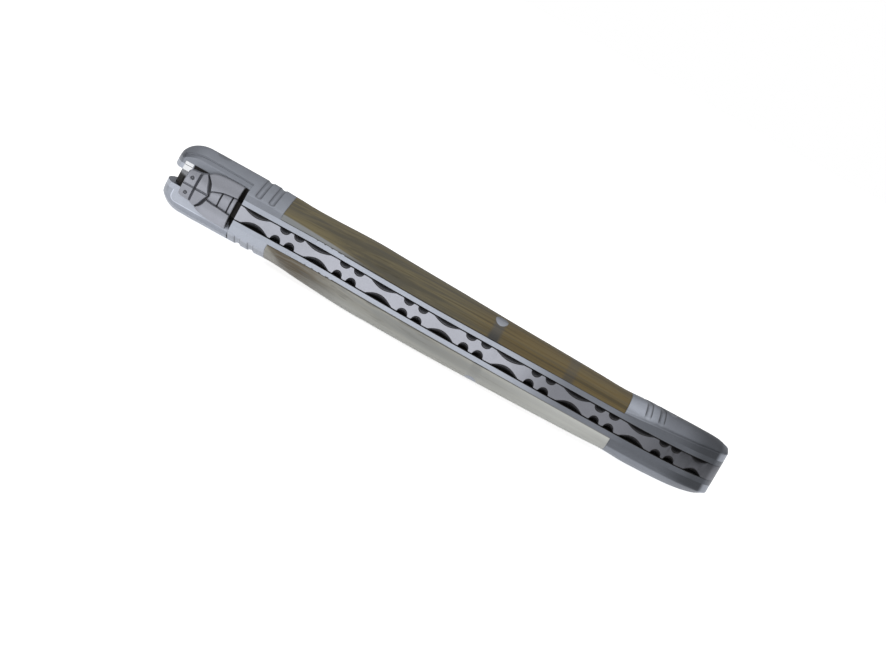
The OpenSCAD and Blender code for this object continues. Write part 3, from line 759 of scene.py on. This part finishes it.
def horn_material(name, body, streak, zone, strength, start, end, pins, rear=None):
    """Polished horn with streaks along the handle, a tinted zone and the shadows of the pins in it.

    Each pin is its x and y, the grey of its shadow and how much of the shadow shows.
    """
    found = bpy.data.materials.get(OWN + name)
    if found:
        return found
    material, shade = new_material(name)
    x, y, z = drawn_axes(shade)
    wide = noise(stretched(shade, HORN_WIDE), 1, 3)
    narrow = noise(stretched(shade, HORN_NARROW), 1, 3)
    cloud = noise(stretched(shade, HORN_CLOUD), 1, 2)
    ribbon = (wide * 0.5 + narrow * 0.4 + cloud * 0.1).between(0.42, 0.60)
    shaded = mix(ribbon, body, streak)
    there = (x + (wide - 0.5) * 16 + (narrow - 0.5) * 8).between(start, end)
    shaded = mix(there * strength * (0.55 + 0.45 * narrow.between(0.4, 0.6)), shaded, zone)
    dark = tuple(0.5 * c for c in body)
    shaded = mix(narrow.between(0.54, 0.68) * 0.6, shaded, dark)
    if rear:
        shaded = mix(x.between(*REAR_X) * (0.75 + 0.25 * ribbon), shaded, rear)
        shaded = mix(abs(z).between(*FLANK_Z) * x.between(*FLANK_X) * 0.5, shaded, rear)
        corner = (abs(z) - CORNER_Z - (x - FACET_X) * CORNER_SLOPE).between(0.0, CORNER_FADE)
        corner = corner * x.below(*CORNER_END_X) * y.below(*CORNER_LOW_Y)
        shaded = mix(corner * 0.8, shaded, streak)
    # Painted reflection on the facet and painted shadow at the liner
    shaded = horn_painted_reflection(x, y, z, shaded)
    for pin_x, pin_y, grey, seen in pins:
        shank = abs(x - pin_x).below(*SHANK_EDGE) * (y - pin_y).below(*SHANK_LOW_Y) * seen
        shaded = mix(shank * 0.8, shaded, (grey, grey * 1.03, grey * 1.08))
        shaded = mix(shank * abs(z).below(*SHANK_DEEP_Z) * 0.8, shaded, (0.35 * grey,) * 3)
    height = narrow * 0.5 + noise(stretched(shade, (1, 1, 1)), 3000, 2) * 0.3
    bump = shade.node("Bump", {}, {"Strength": 0.12, "Distance": 0.00005, "Height": height})
    rough = 0.34 + 0.12 * (cloud - 0.5) + 0.08 * narrow
    finish_material(shade, {"Base Color": shaded, "Metallic": 0.0, "Roughness": rough.clamped(),
                            "Normal": bump, "Specular IOR Level": 0.25})
    return material


# Pieces
SLANT_REACH = 1.6
PAST_FLUTE = 0.6
FLUTE_STEP = 0.07
ROUND_STEPS = 5
MARK_DARK = 0.5
SLANTED_MARK_DARK = 0.7
MARK_SHARE = 0.85
MARK_HALF_SHARE = 0.22
MARK_FADE = (0.1, 0.8)


def dress(node, material):
    """Give a CAD node its finish and leave its shape."""
    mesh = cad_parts[node].data
    mesh.materials.clear()
    mesh.materials.append(material)


def flute_places(shape, low, high, step):
    """Places along the handle, closer together across the flutes."""
    places = list(np.arange(low, high, step))
    for centre, slant in shape.flutes:
        if low < centre < high:
            reach = shape.flute_w / 2 + SLANT_REACH * bool(slant)
            places += list(np.arange(centre - reach, centre + reach / 2 + PAST_FLUTE, FLUTE_STEP))
    return places


def seam_rings(shape, places, chamfer_front, chamfer_rear, rounding=0.0):
    """Cross-sections at the places, with chamfered or rounded ends."""
    places = sorted(set(round(float(p), 4) for p in places))
    rings = list(shape.section(places))
    if chamfer_front:
        first = shape.section([places[0]])[0]
        shifted = shape.section([places[0] + shape.chamfer])[0]
        rings = [inset(first, shape.chamfer), shifted] + rings[1:]
    if chamfer_rear:
        last = shape.section([places[-1]])[0]
        shifted = shape.section([places[-1] - shape.chamfer])[0]
        rings = rings[:-1] + [shifted, inset(last, shape.chamfer)]
    if rounding:
        keep = [r for r in rings if r[0, 0] < shape.length - rounding]
        turned = []
        for k in range(ROUND_STEPS + 1):
            angle = math.radians(90 / ROUND_STEPS * k)
            x = shape.length - rounding * (1 - math.sin(angle))
            turned.append(inset(shape.section([x])[0], rounding * (1 - math.cos(angle))))
        rings = keep + turned
    return np.array(rings)


def flute_marks(shape, rings):
    """Dark file marks along both edges of every flute, for each point of the cross-sections."""
    x, y = rings[..., 0], rings[..., 1]
    down = y - shape.spine(x)
    marks = 0 * x
    for centre, slant in shape.flutes:
        s = np.abs(x - centre + slant * down) / (shape.flute_w / 2)
        line = 1 - ease(0, MARK_HALF_SHARE, np.abs(s - MARK_SHARE))
        marks = np.maximum(marks, (SLANTED_MARK_DARK if slant else MARK_DARK) * line)
    return marks * ease(*MARK_FADE, down - shape.flute_start)


FRONT_STEP = 0.5
REAR_STEP = 0.4
LOBE_ANGLES = range(4, 90, 3)
SEAT_CUTS = (SEAT_X - 0.001, SEAT_X, SEAT_X + 0.02)
BUTT_RUN = 1.5
BUTT_STEPS = 12
BUTT_ROUNDING = 0.35


class KNIFE_OT_bolsters(bpy.types.Operator):
    """Front and rear bolsters of blasted steel with two filed flutes each"""
    bl_idname = "knife.bolsters"
    bl_label = "Bolsters"

    def execute(self, context):
        shape = Outline(context.scene.knife_handle)
        lobe = [shape.lobe_r * (1 - math.cos(math.radians(a))) for a in LOBE_ANGLES]
        front = lobe + flute_places(shape, shape.lobe_r, shape.front_seam, FRONT_STEP)
        front += [*SEAT_CUTS, shape.front_seam]
        rear = flute_places(shape, shape.rear_seam, shape.length, REAR_STEP)
        rear += [shape.length - BUTT_RUN * (1 - k / BUTT_STEPS) ** 2 for k in range(BUTT_STEPS + 1)]
        for word, side, start in (("left", -1, LEFT_REAR_START), ("right", 1, 0)):
            shape.flute_start = 0
            self.bolster(shape, seam_rings(shape, front, False, True), "front_bolster_" + word, side)
            shape.flute_start = start
            made = seam_rings(shape, rear, True, False, rounding=BUTT_ROUNDING)
            self.bolster(shape, made, "rear_bolster_" + word, side)
        return {"FINISHED"}

    def bolster(self, shape, made, node, side):
        """One bolster from its cross-sections, with where its side is rounded written on its points."""
        rounded = 0 * made[..., 0]
        rounded[:, FLOOR_STEPS + 1:-1] = 1
        rounded[:, FLOOR_STEPS + 1:FLOOR_STEPS + 4] = 0.5
        new_piece("dressed_" + node, mirrored(made, side), steel("blasted_steel"), "handle",
                  node, marks=flute_marks(shape, made), rounded=rounded)


SCALE_STEP = 0.6


class KNIFE_OT_scales(bpy.types.Operator):
    """Horn scales between the bolsters"""
    bl_idname = "knife.scales"
    bl_label = "Horn Scales"

    def execute(self, context):
        shape = Outline(context.scene.knife_handle)
        colours = context.scene.knife_colours
        places = np.arange(shape.front_seam, shape.rear_seam, SCALE_STEP)
        made = seam_rings(shape, [shape.front_seam, *places, shape.rear_seam], True, True)
        spring_pin = drawn((SPRING_PIN[0] + SPRING_PIN[1]) / 2)
        shanks = [spring_pin[:2], shape.from_shares(SCALE_RIVETS)[1]]
        pale = horn_material("pale_horn", colours.pale, colours.cream, zone=colours.brown, strength=0.95,
                             start=44, end=30, pins=[(*shanks[0], 0.26, 0.2)], rear=colours.ivory)
        olive = horn_material("olive_horn", colours.olive, colours.moss, zone=colours.amber, strength=0.8,
                              start=58, end=76,
                              pins=[(*at, 0.08, seen) for at, seen in zip(shanks, (0.85, 0.45))])
        finishes = {"left": (-1, pale, SLOTS["pale"]), "right": (1, olive, SLOTS["olive"])}
        for word, (side, material, slot) in finishes.items():
            new_piece(f"horn_scale_{word}", mirrored(made, side), material, "handle", f"{word}_scale")
        return {"FINISHED"}


class KNIFE_OT_liners(bpy.types.Operator):
    """Steel liners, which stay as the CAD has them"""
    bl_idname = "knife.liners"
    bl_label = "Liners"

    def execute(self, context):
        for node in ("left_liner", "right_liner"):
            dress(node, steel("liner_steel"))
        return {"FINISHED"}


HEAD_TOP = 2.7
HEAD_H = 2.1
NOSE_H = 0.6
NOSE_R = 1.2
NOSE_BEHIND = 0.5
FRONT_REST = 0.1
BEVEL = 0.14
SIDE_GAP = 0.05
CUT_LIMIT_SHARE = 0.8
AFTER_SEAT = 0.05
NOTCH_START = 0.4
TAIL_X = (112, 116)
TAIL_ROUNDING = 0.4
HEAD_STEP = 0.12
SPRING_STEP = 0.085
BLEND_FROM_PIN = 4
BLEND_END = 1
# Where each notch is filed, along the right (1) and the left (-1) edge
LONG_NOTCHES = {1: (19.3, 32.3, 46.75, 60.5, 74.15, 88.5, 102.3, 115.1),
                -1: (19.9, 33.3, 47.0, 60.5, 74.3, 88.3, 101.7, 115.0)}
SHORT_NOTCHES = {1: (25.3, 28.3, 38.3, 41.35, 52.3, 55.4, 65.8, 69.0, 79.85, 82.9, 93.5, 96.6, 107.4,
                     110.0),
                 -1: (24.4, 27.4, 37.85, 40.9, 52.15, 55.25, 65.4, 68.5, 79.5, 82.65, 93.6, 96.7, 106.9,
                      109.7)}
LONG_DEEP = {1: 0.76, -1: 1.08}
SHORT_DEEP = {1: 0.9, -1: 1.14}
LAST_NOTCH_X = 112
LAST_NOTCH_SHARE = 0.7
HAND_SHARE = 0.05
FLARE_SHARE = 0.16
FLARE_REACH_SHARE = 1.45
SEEDS = {1: 11, -1: 23}


class KNIFE_OT_spring(bpy.types.Operator):
    """Back spring with its filed notches"""
    bl_idname = "knife.spring"
    bl_label = "Back Spring"

    def bite(self, sizes, side, x):
        """Depth of the notches of one edge along the spring."""
        hand = np.random.default_rng(SEEDS[side])
        depth = 0 * x
        for centres, length, power, share in (
                (LONG_NOTCHES[side], sizes.long_notch, 1.2, LONG_DEEP[side]),
                (SHORT_NOTCHES[side], sizes.short_notch, 0.5, SHORT_DEEP[side])):
            for centre in centres:
                wide, deep = (1 + HAND_SHARE * hand.uniform(-1, 1, 2)) * (1, share)
                if centre > LAST_NOTCH_X:
                    wide = LAST_NOTCH_SHARE * wide
                s = np.abs(x - centre) / (length / MM / 2 * wide)
                arc = np.clip(1 - s ** 2, 0, 1) ** power
                flare = FLARE_SHARE * np.clip(1 - s / FLARE_REACH_SHARE, 0, 1)
                depth = np.maximum(depth, sizes.depth / MM * deep * np.maximum(arc, flare))
        return depth

    def execute(self, context):
        shape = Outline(context.scene.knife_handle)
        sizes = context.scene.knife_spring
        front = drawn(BEE[0])[0] + FRONT_REST
        pin = drawn((SPRING_PIN[0] + SPRING_PIN[1]) / 2)
        tail = shape.length - TAIL_ROUNDING
        turns = [math.sin(math.radians(90 / ROUND_STEPS * k)) for k in range(ROUND_STEPS + 1)]
        x = np.concatenate([np.arange(front, SEAT_X, HEAD_STEP), [SEAT_X - 0.001, SEAT_X + 0.001],
                            np.arange(SEAT_X + AFTER_SEAT, tail, SPRING_STEP),
                            [tail + TAIL_ROUNDING * turn for turn in turns]])
        top = np.where(x < SEAT_X, HEAD_TOP, shape.spine(x))
        head_under = HEAD_TOP + HEAD_H
        under = through([[SEAT_X, head_under]] + shape.from_shares(UNDER_SHARES), x)
        behind = x - shape.pivot[0] - NOSE_BEHIND
        nose = head_under + NOSE_H - NOSE_R + np.sqrt(np.clip(NOSE_R ** 2 - behind ** 2, 0, None))
        under = np.where(np.abs(behind) < NOSE_R, np.maximum(under, nose), under)
        open_slot = 1 - ease(*TAIL_X, x)
        half = shape.slot_z - SIDE_GAP * open_slot
        lean = 1 / math.tan(sizes.tilt)
        columns, marks = {}, {}
        for side in (1, -1):
            bite = np.where(x < SEAT_X + NOTCH_START, 0, self.bite(sizes, side, x))
            deep = np.minimum(bite * lean, (under - top) * CUT_LIMIT_SHARE)
            edge = half - bite
            # The marks on these points are painted shade down the filed walls and along the edges next to the
            # liners
            steps = [(top, edge - BEVEL, 0),
                     (top + 0.05 * BEVEL, edge - 0.85 * BEVEL, 0.8 * open_slot),
                     (top + 0.5 * BEVEL, edge - 0.1 * BEVEL, open_slot)]
            for share, marks_and_shade in ((0.12, 0.4), (0.35, 0.66), (0.7, 0.86), (1, 1)):
                steps.append((top + np.maximum(BEVEL * (1 + share), deep * share), edge + bite * share,
                              np.maximum(marks_and_shade * open_slot, marks_and_shade * ease(0.1, 0.2, bite))))
            steps += [(under - BEVEL, half + 0 * x, 0.6), (under, half - BEVEL + 0 * x, 0)]
            columns[side] = [(y, side * z) for y, z, _ in steps]
            marks[side] = [m + 0 * x for _, _, m in steps]
        around = columns[1] + columns[-1][::-1]
        points = np.stack([np.stack([x, y, z], axis=1) for y, z in around], axis=1)
        marks_and_shade = np.stack(marks[1] + marks[-1][::-1], axis=1)
        piece = new_piece("filed_back_spring", points, steel("spring_steel"), None,
                          "back_spring", sharp=18, marks=marks_and_shade)
        start, end = place([[pin[0] - BLEND_FROM_PIN, 0, 0], [SEAT_X + BLEND_END, 0, 0]])
        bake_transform(piece)
        return {"FINISHED"}


BEE_RIGHT_SHARES = [[0, 0.54], [0.03, 0.61], [0.21, 0.67], [0.325, 0.765], [0.40, 0.88], [0.50, 0.945],
                    [0.68, 0.985], [0.97, 1], [1, 0.98]]
BEE_LEFT_SHARES = [[0, 0.5], [0.03, 0.57], [0.21, 0.61], [0.345, 0.73], [0.42, 0.83], [0.52, 0.9],
                   [0.68, 0.965], [0.97, 0.995], [1, 0.97]]
BEE_AHEAD = 0.12
BEE_BEHIND = 0.22
BEE_ACROSS = 180
BEE_ALONG = 216
BEE_ROUNDING = 0.3
BEE_FIT = 0.02
CROWN_R = 6.2
V_GROOVE = [[0, 9.45], [1.35, 8.92], [2.4, 8.45], [3.2, 7.7], [3.6, 7.2]]
ABDOMEN = [[9.3, 0.8], [9.8, 1.05], [11.5, 1.42], [14.9, 1.78]]
ABDOMEN_DRIFT = 0.36
DRIFT_X = (8.8, 12.5)
ABDOMEN_SINK = 0.24
ABDOMEN_ROUND = 0.16
V_SLOPE = 0.86
V_REACH = 3.4
PUNCH_PITCH = 0.42
NECK_X = 6.38
NECK_HALF = 0.3
NECK_DEEP = 0.4
BROW_LIFT = 0.1
BAND_XS = (11.62, 13.72)
BAND_HALF = 0.19
BAND_DEEP = 0.3
EYE = (5.12, 1.55)
EYE_R = 0.25
EYE_HALF = 0.2


class KNIFE_OT_bee(bpy.types.Operator):
    """Bee that straddles the spring head, cut into head, thorax, wings and banded body"""
    bl_idname = "knife.bee"
    bl_label = "Bee"

    def execute(self, context):
        shape = Outline(context.scene.knife_handle)
        front, crown, _ = drawn(BEE[0])
        rear, under, width = drawn(BEE[1])
        front, rear = front - BEE_AHEAD, rear + BEE_BEHIND
        middle = np.linspace(front + 0.05, rear - 0.05, BEE_ALONG)
        u = np.concatenate([[front, front + 0.01], middle, [rear - 0.01, rear]])
        w_right = width * through(BEE_RIGHT_SHARES, (u - front) / (rear - front))
        w_left = width * through(BEE_LEFT_SHARES, (u - front) / (rear - front))
        t = np.linspace(-1, 1, BEE_ACROSS)
        u2 = u[:, None] + 0 * t[None, :]
        w = np.where(t[None, :] > 0, w_right[:, None], w_left[:, None])
        z = w * t[None, :]
        a = np.abs(z)
        drift = ABDOMEN_DRIFT * ease(*DRIFT_X, u2)
        belly = np.abs(z - drift)

        def groove(distance, half, deep):
            return deep * (1 - ease(0, half, np.abs(distance)))

        depth = crown + CROWN_R - np.sqrt(CROWN_R ** 2 - z ** 2)
        vee = through(V_GROOVE, a)
        behind = u2 - vee
        inner = through(ABDOMEN, u2)
        wing = ease(0.1, 0.35, behind) * ease(-0.02, 0.12, belly - inner)
        body = ease(0.1, 0.3, behind) * (1 - ease(-0.1, 0.04, belly - inner))
        outer = np.maximum(w, inner + 0.5)
        q = np.clip((belly - inner) / (outer - inner), 0, 1)
        depth -= wing * (0.10 + 0.42 * q * (1 - q)) - 0.10 * wing * q
        depth += body * (ABDOMEN_SINK + ABDOMEN_ROUND * (belly / inner) ** 2)
        vee_half = 0.16 + 0.2 * np.sin(math.pi * np.clip(a / V_REACH, 0, 1))
        depth += groove(behind * V_SLOPE, vee_half + 0.08, 0.5)
        depth += groove(belly - inner, 0.16, 0.16) * ease(0.0, 0.3, behind)
        ahead = 1 - ease(-0.1, 0.1, behind)
        depth += groove(u2 - NECK_X, NECK_HALF, NECK_DEEP) * ahead
        depth += groove(z, 0.24, 0.24) * ahead
        depth -= BROW_LIFT * ahead * ease(NECK_X, NECK_X + 0.5, u2) * ease(0.1, 0.3, a)
        for band in BAND_XS:
            depth += groove(u2 - band, BAND_HALF, BAND_DEEP) * body
        eye = np.hypot(u2 - EYE[0], a - EYE[1])
        depth += groove(eye - EYE_R, EYE_HALF, 0.2)
        for inward in (w - a, np.minimum(u2 - front, rear - u2)):
            rim = np.clip(1 - inward / BEE_ROUNDING, 0, 1)
            depth += BEE_ROUNDING * (1 - np.sqrt(1 - rim ** 2))
        punched = np.sin(2 * math.pi * z / PUNCH_PITCH) * np.sin(2 * math.pi * u2 / PUNCH_PITCH)
        cross = groove(u2 - NECK_X, 0.24, 0.5) + groove(a - 0.13, 0.1, 0.4)
        # Painted shade down the V groove, the neck and centre grooves of the head, the bands, the body's edge
        # and round the eyes
        marks_and_shade = (groove(behind * V_SLOPE, vee_half, 0.8) + ahead * cross * (0.8 + 0.4 * punched)
                + sum(groove(u2 - band, BAND_HALF - 0.01, 0.85) for band in BAND_XS) * body
                + groove(belly - inner, 0.14, 0.6) * ease(0.0, 0.3, behind)
                + groove(eye - 0.22, EYE_HALF, 0.55))
        slot = shape.slot_z + BEE_FIT
        roof = HEAD_TOP - BEE_FIT
        walls = [(w_right, under), (slot + 0 * u, under), (slot + 0 * u, roof), (-slot + 0 * u, roof),
                 (-slot + 0 * u, under), (-w_left, under)]
        extra_z = np.stack([c[0] for c in walls], axis=1)
        extra_y = np.stack([c[1] + 0 * u for c in walls], axis=1)
        all_z = np.concatenate([z, extra_z], axis=1)
        all_y = np.concatenate([depth, extra_y], axis=1)
        points = np.stack([u[:, None] + 0 * all_z, all_y, all_z], axis=2)
        marks = np.concatenate([marks_and_shade, 0 * extra_z], axis=1)
        new_piece("spring_head_bee", points, steel("bee_steel"), "spring_head", "bee",
                  sharp=50, marks=np.clip(marks, 0, 1))
        return {"FINISHED"}


PROUD = 0.025
AROUND = 48
HEAD_SHARES = (0.02, 0.35, 0.65, 0.88, 1.0)
RIVET_R = 1.0
RIVET_GAP = 0.01


class KNIFE_OT_pins(bpy.types.Operator):
    """Pins and rivets, with heads that follow the sides"""
    bl_idname = "knife.pins"
    bl_label = "Pins And Rivets"

    def head(self, shape, at, radius, side, floor_z):
        """Rings of one pin end, from its middle out and down to floor_z."""
        turns = np.linspace(0, 2 * math.pi, AROUND, endpoint=False)
        rings = []
        for share in HEAD_SHARES:
            x = at[0] + radius * share * np.cos(turns)
            y = at[1] + radius * share * np.sin(turns)
            z = shape.side(x, y) + PROUD * (1 - share ** 4)
            rings.append(np.stack([x, y, side * z], axis=1))
        low = rings[-1].copy()
        low[:, 2] = side * floor_z
        return rings + [low]

    def execute(self, context):
        shape = Outline(context.scene.knife_handle)
        for node in ("pivot_pin", "spring_pin", "butt_pin"):
            low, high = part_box(node)
            at = drawn((low + high) / 2)
            radius = (high.x - low.x) / MM / 2
            made = np.array(self.head(shape, at, radius, 1, 0)[:-1]
                            + self.head(shape, at, radius, -1, 0)[-2::-1])
            new_piece("dressed_" + node, made, steel("pin_steel"), "handle", node)
        for word, side in (("left", -1), ("right", 1)):
            node = f"{word}_scale_rivets"
            points, faces = [], []
            for at in shape.from_shares(SCALE_RIVETS):
                made = np.array(self.head(shape, at, RIVET_R, side, shape.slot_z + RIVET_GAP))
                base = len(points)
                points += list(made.reshape(-1, 3))
                faces += [tuple(base + i for i in f) for f in loft_faces(len(made), AROUND)]
            new_piece("dressed_" + node, points, steel("pin_steel"), "handle", node, faces)
        for node in ("left_bolster_rivets", "right_bolster_rivets"):
            dress(node, steel("pin_steel"))
        return {"FINISHED"}


class KNIFE_OT_blade(bpy.types.Operator):
    """Blade of satin steel"""
    bl_idname = "knife.blade"
    bl_label = "Blade"

    def execute(self, context):
        dress("blade", steel("blade_steel"))
        return {"FINISHED"}


AIM = Vector((0.0, -0.0105, 0.0079))
CAMERA_FAR = 0.394
CAMERA_UP = math.radians(9.7)
CAMERA_ROLL = math.radians(29.2)
FLOOR_REACH = 4.0
FLOOR_GAP = 0.0002
FLOOR_GLOW = 0.85
WORLD_FRONT = (-0.9, 0.3)
WORLD_DIM = 0.35
WORLD_BRIGHT = 0.5


class KNIFE_OT_studio(bpy.types.Operator):
    """Camera, pale floor and soft light"""
    bl_idname = "knife.studio"
    bl_label = "Studio"

    def seen_plainly(self, shade):
        """1 for rays of the camera, of gloss and of glass."""
        kinds = [shade.node("LightPath", output=k) for k in
                 ("Is Camera Ray", "Is Glossy Ray", "Is Transmission Ray")]
        return (kinds[0] + kinds[1] + kinds[2]).clamped()

    def world(self, scene):
        world = bpy.data.worlds.new("studio_world")
        world.use_nodes = True
        world.node_tree.nodes.clear()
        shade = Shade(world.node_tree)
        ahead = shade.node("SeparateXYZ", {}, {0: shade.node("TexCoord", output="Generated")}, output=1)
        front = ahead.below(*WORLD_FRONT)
        plain = self.seen_plainly(shade)
        strength = plain + (1 - plain) * (WORLD_DIM + WORLD_BRIGHT * front)
        light = shade.node("Background", {}, {"Color": (1, 1, 1, 1), "Strength": strength})
        shade.node("OutputWorld", {}, {"Surface": light})
        scene.world = world

    def floor(self, colours):
        mesh = bpy.data.meshes.new("floor")
        far = FLOOR_REACH
        low = CAD_BOX[0].z - FLOOR_GAP
        mesh.from_pydata([(-far, -far, low), (far, -far, low), (far, far, low), (-far, far, low)], [],
                         [(0, 1, 2, 3)])
        material, shade = new_material("studio_floor")
        lit = shade.node("BsdfDiffuse", {}, {"Color": (*colours.floor, 1)})
        glow = shade.node("Emission", {}, {"Color": (1, 1, 1, 1), "Strength": FLOOR_GLOW})
        bright = shade.node("AddShader", {}, {0: lit, 1: glow})
        shown = shade.node("MixShader", {}, {0: self.seen_plainly(shade), 1: lit, 2: bright})
        shade.node("OutputMaterial", {}, {"Surface": shown})
        mesh.materials.append(material)
        piece = bpy.data.objects.new("floor", mesh)
        bpy.context.scene.collection.objects.link(piece)

    def card(self, name, reach, turns, top, grey):
        """A curved grey card round the knife, seen only in the steel and the polish of the horn."""
        mesh = bpy.data.meshes.new(name)
        rim = [(reach * math.sin(math.radians(a)), AIM.y - reach * math.cos(math.radians(a))) for a in turns]
        mesh.from_pydata([(px, py, z) for px, py in rim for z in (0.0, top)], [],
                         [(2 * i, 2 * i + 2, 2 * i + 3, 2 * i + 1) for i in range(len(rim) - 1)])
        material, shade = new_material(name)
        glow = shade.node("Emission", {}, {"Color": (1, 1, 1, 1), "Strength": grey})
        shade.node("OutputMaterial", {}, {"Surface": glow})
        mesh.materials.append(material)
        card = bpy.data.objects.new(name, mesh)
        card.visible_camera = card.visible_diffuse = card.visible_shadow = card.visible_transmission = False
        bpy.context.scene.collection.objects.link(card)

    def lamp(self, name, where, width, power):
        light = bpy.data.lights.new(name, "AREA")
        light.shape = "DISK"
        light.size = width
        light.energy = power
        lamp = bpy.data.objects.new(name, light)
        lamp.location = where
        lamp.rotation_mode = "QUATERNION"
        lamp.rotation_quaternion = (AIM - Vector(where)).to_track_quat("-Z", "Y")
        bpy.context.scene.collection.objects.link(lamp)

    def camera(self, scene):
        data = bpy.data.cameras.new("camera")
        data.lens = 85
        data.sensor_width = 36
        data.clip_start = 0.01
        data.clip_end = 20
        camera = bpy.data.objects.new("camera", data)
        back = Vector((0, -math.cos(CAMERA_UP), math.sin(CAMERA_UP)))
        camera.location = AIM + back * CAMERA_FAR
        camera.rotation_mode = "QUATERNION"
        level = (-back).to_track_quat("-Z", "Y")
        camera.rotation_quaternion = level @ Quaternion((0, 0, 1), CAMERA_ROLL)
        scene.collection.objects.link(camera)
        scene.camera = camera

    def execute(self, context):
        scene = context.scene
        scene.view_settings.view_transform = "Standard"
        self.world(scene)
        self.floor(scene.knife_colours)
        self.lamp("key", (-0.45, -1.05, 0.16), width=0.5, power=1.6)
        self.lamp("top", (0.10, -0.35, 1.1), width=0.7, power=0.8)
        self.card("back_card", reach=0.42, turns=range(60, 301, 6), top=0.5, grey=0.32)
        self.card("side_card", reach=0.30, turns=range(26, 61, 3), top=0.25, grey=0.2)
        self.camera(scene)
        return {"FINISHED"}


class KNIFE_PT_panel(bpy.types.Panel):
    """Lists the knife's sizes, colours and pieces"""
    bl_label = "Folding Knife"
    bl_idname = "KNIFE_PT_panel"
    bl_space_type = "VIEW_3D"
    bl_region_type = "UI"
    bl_category = "Knife"

    def draw(self, context):
        for group in ("knife_handle", "knife_spring", "knife_colours"):
            held = getattr(context.scene, group)
            box = self.layout.box()
            for name in held.__annotations__:
                box.prop(held, name)
        for operator in OPERATORS:
            self.layout.operator(operator.bl_idname)


GROUPS = {"knife_handle": KnifeHandle, "knife_spring": KnifeSpring, "knife_colours": KnifeColours}
OPERATORS = (KNIFE_OT_bolsters, KNIFE_OT_scales, KNIFE_OT_liners, KNIFE_OT_spring, KNIFE_OT_bee,
             KNIFE_OT_pins, KNIFE_OT_blade, KNIFE_OT_studio)


def register():
    for made in (*GROUPS.values(), *OPERATORS, KNIFE_PT_panel):
        bpy.utils.register_class(made)
    for name, group in GROUPS.items():
        setattr(bpy.types.Scene, name, bpy.props.PointerProperty(type=group))


def unregister():
    for name in GROUPS:
        delattr(bpy.types.Scene, name)
    for made in reversed((*GROUPS.values(), *OPERATORS, KNIFE_PT_panel)):
        bpy.utils.unregister_class(made)


def main():
    register()
    bpy.ops.knife.bolsters()
    bpy.ops.knife.scales()
    bpy.ops.knife.liners()
    bpy.ops.knife.spring()
    bpy.ops.knife.bee()
    bpy.ops.knife.pins()
    bpy.ops.knife.blade()
    bpy.ops.knife.studio()


if __name__ == "__main__":
    main()
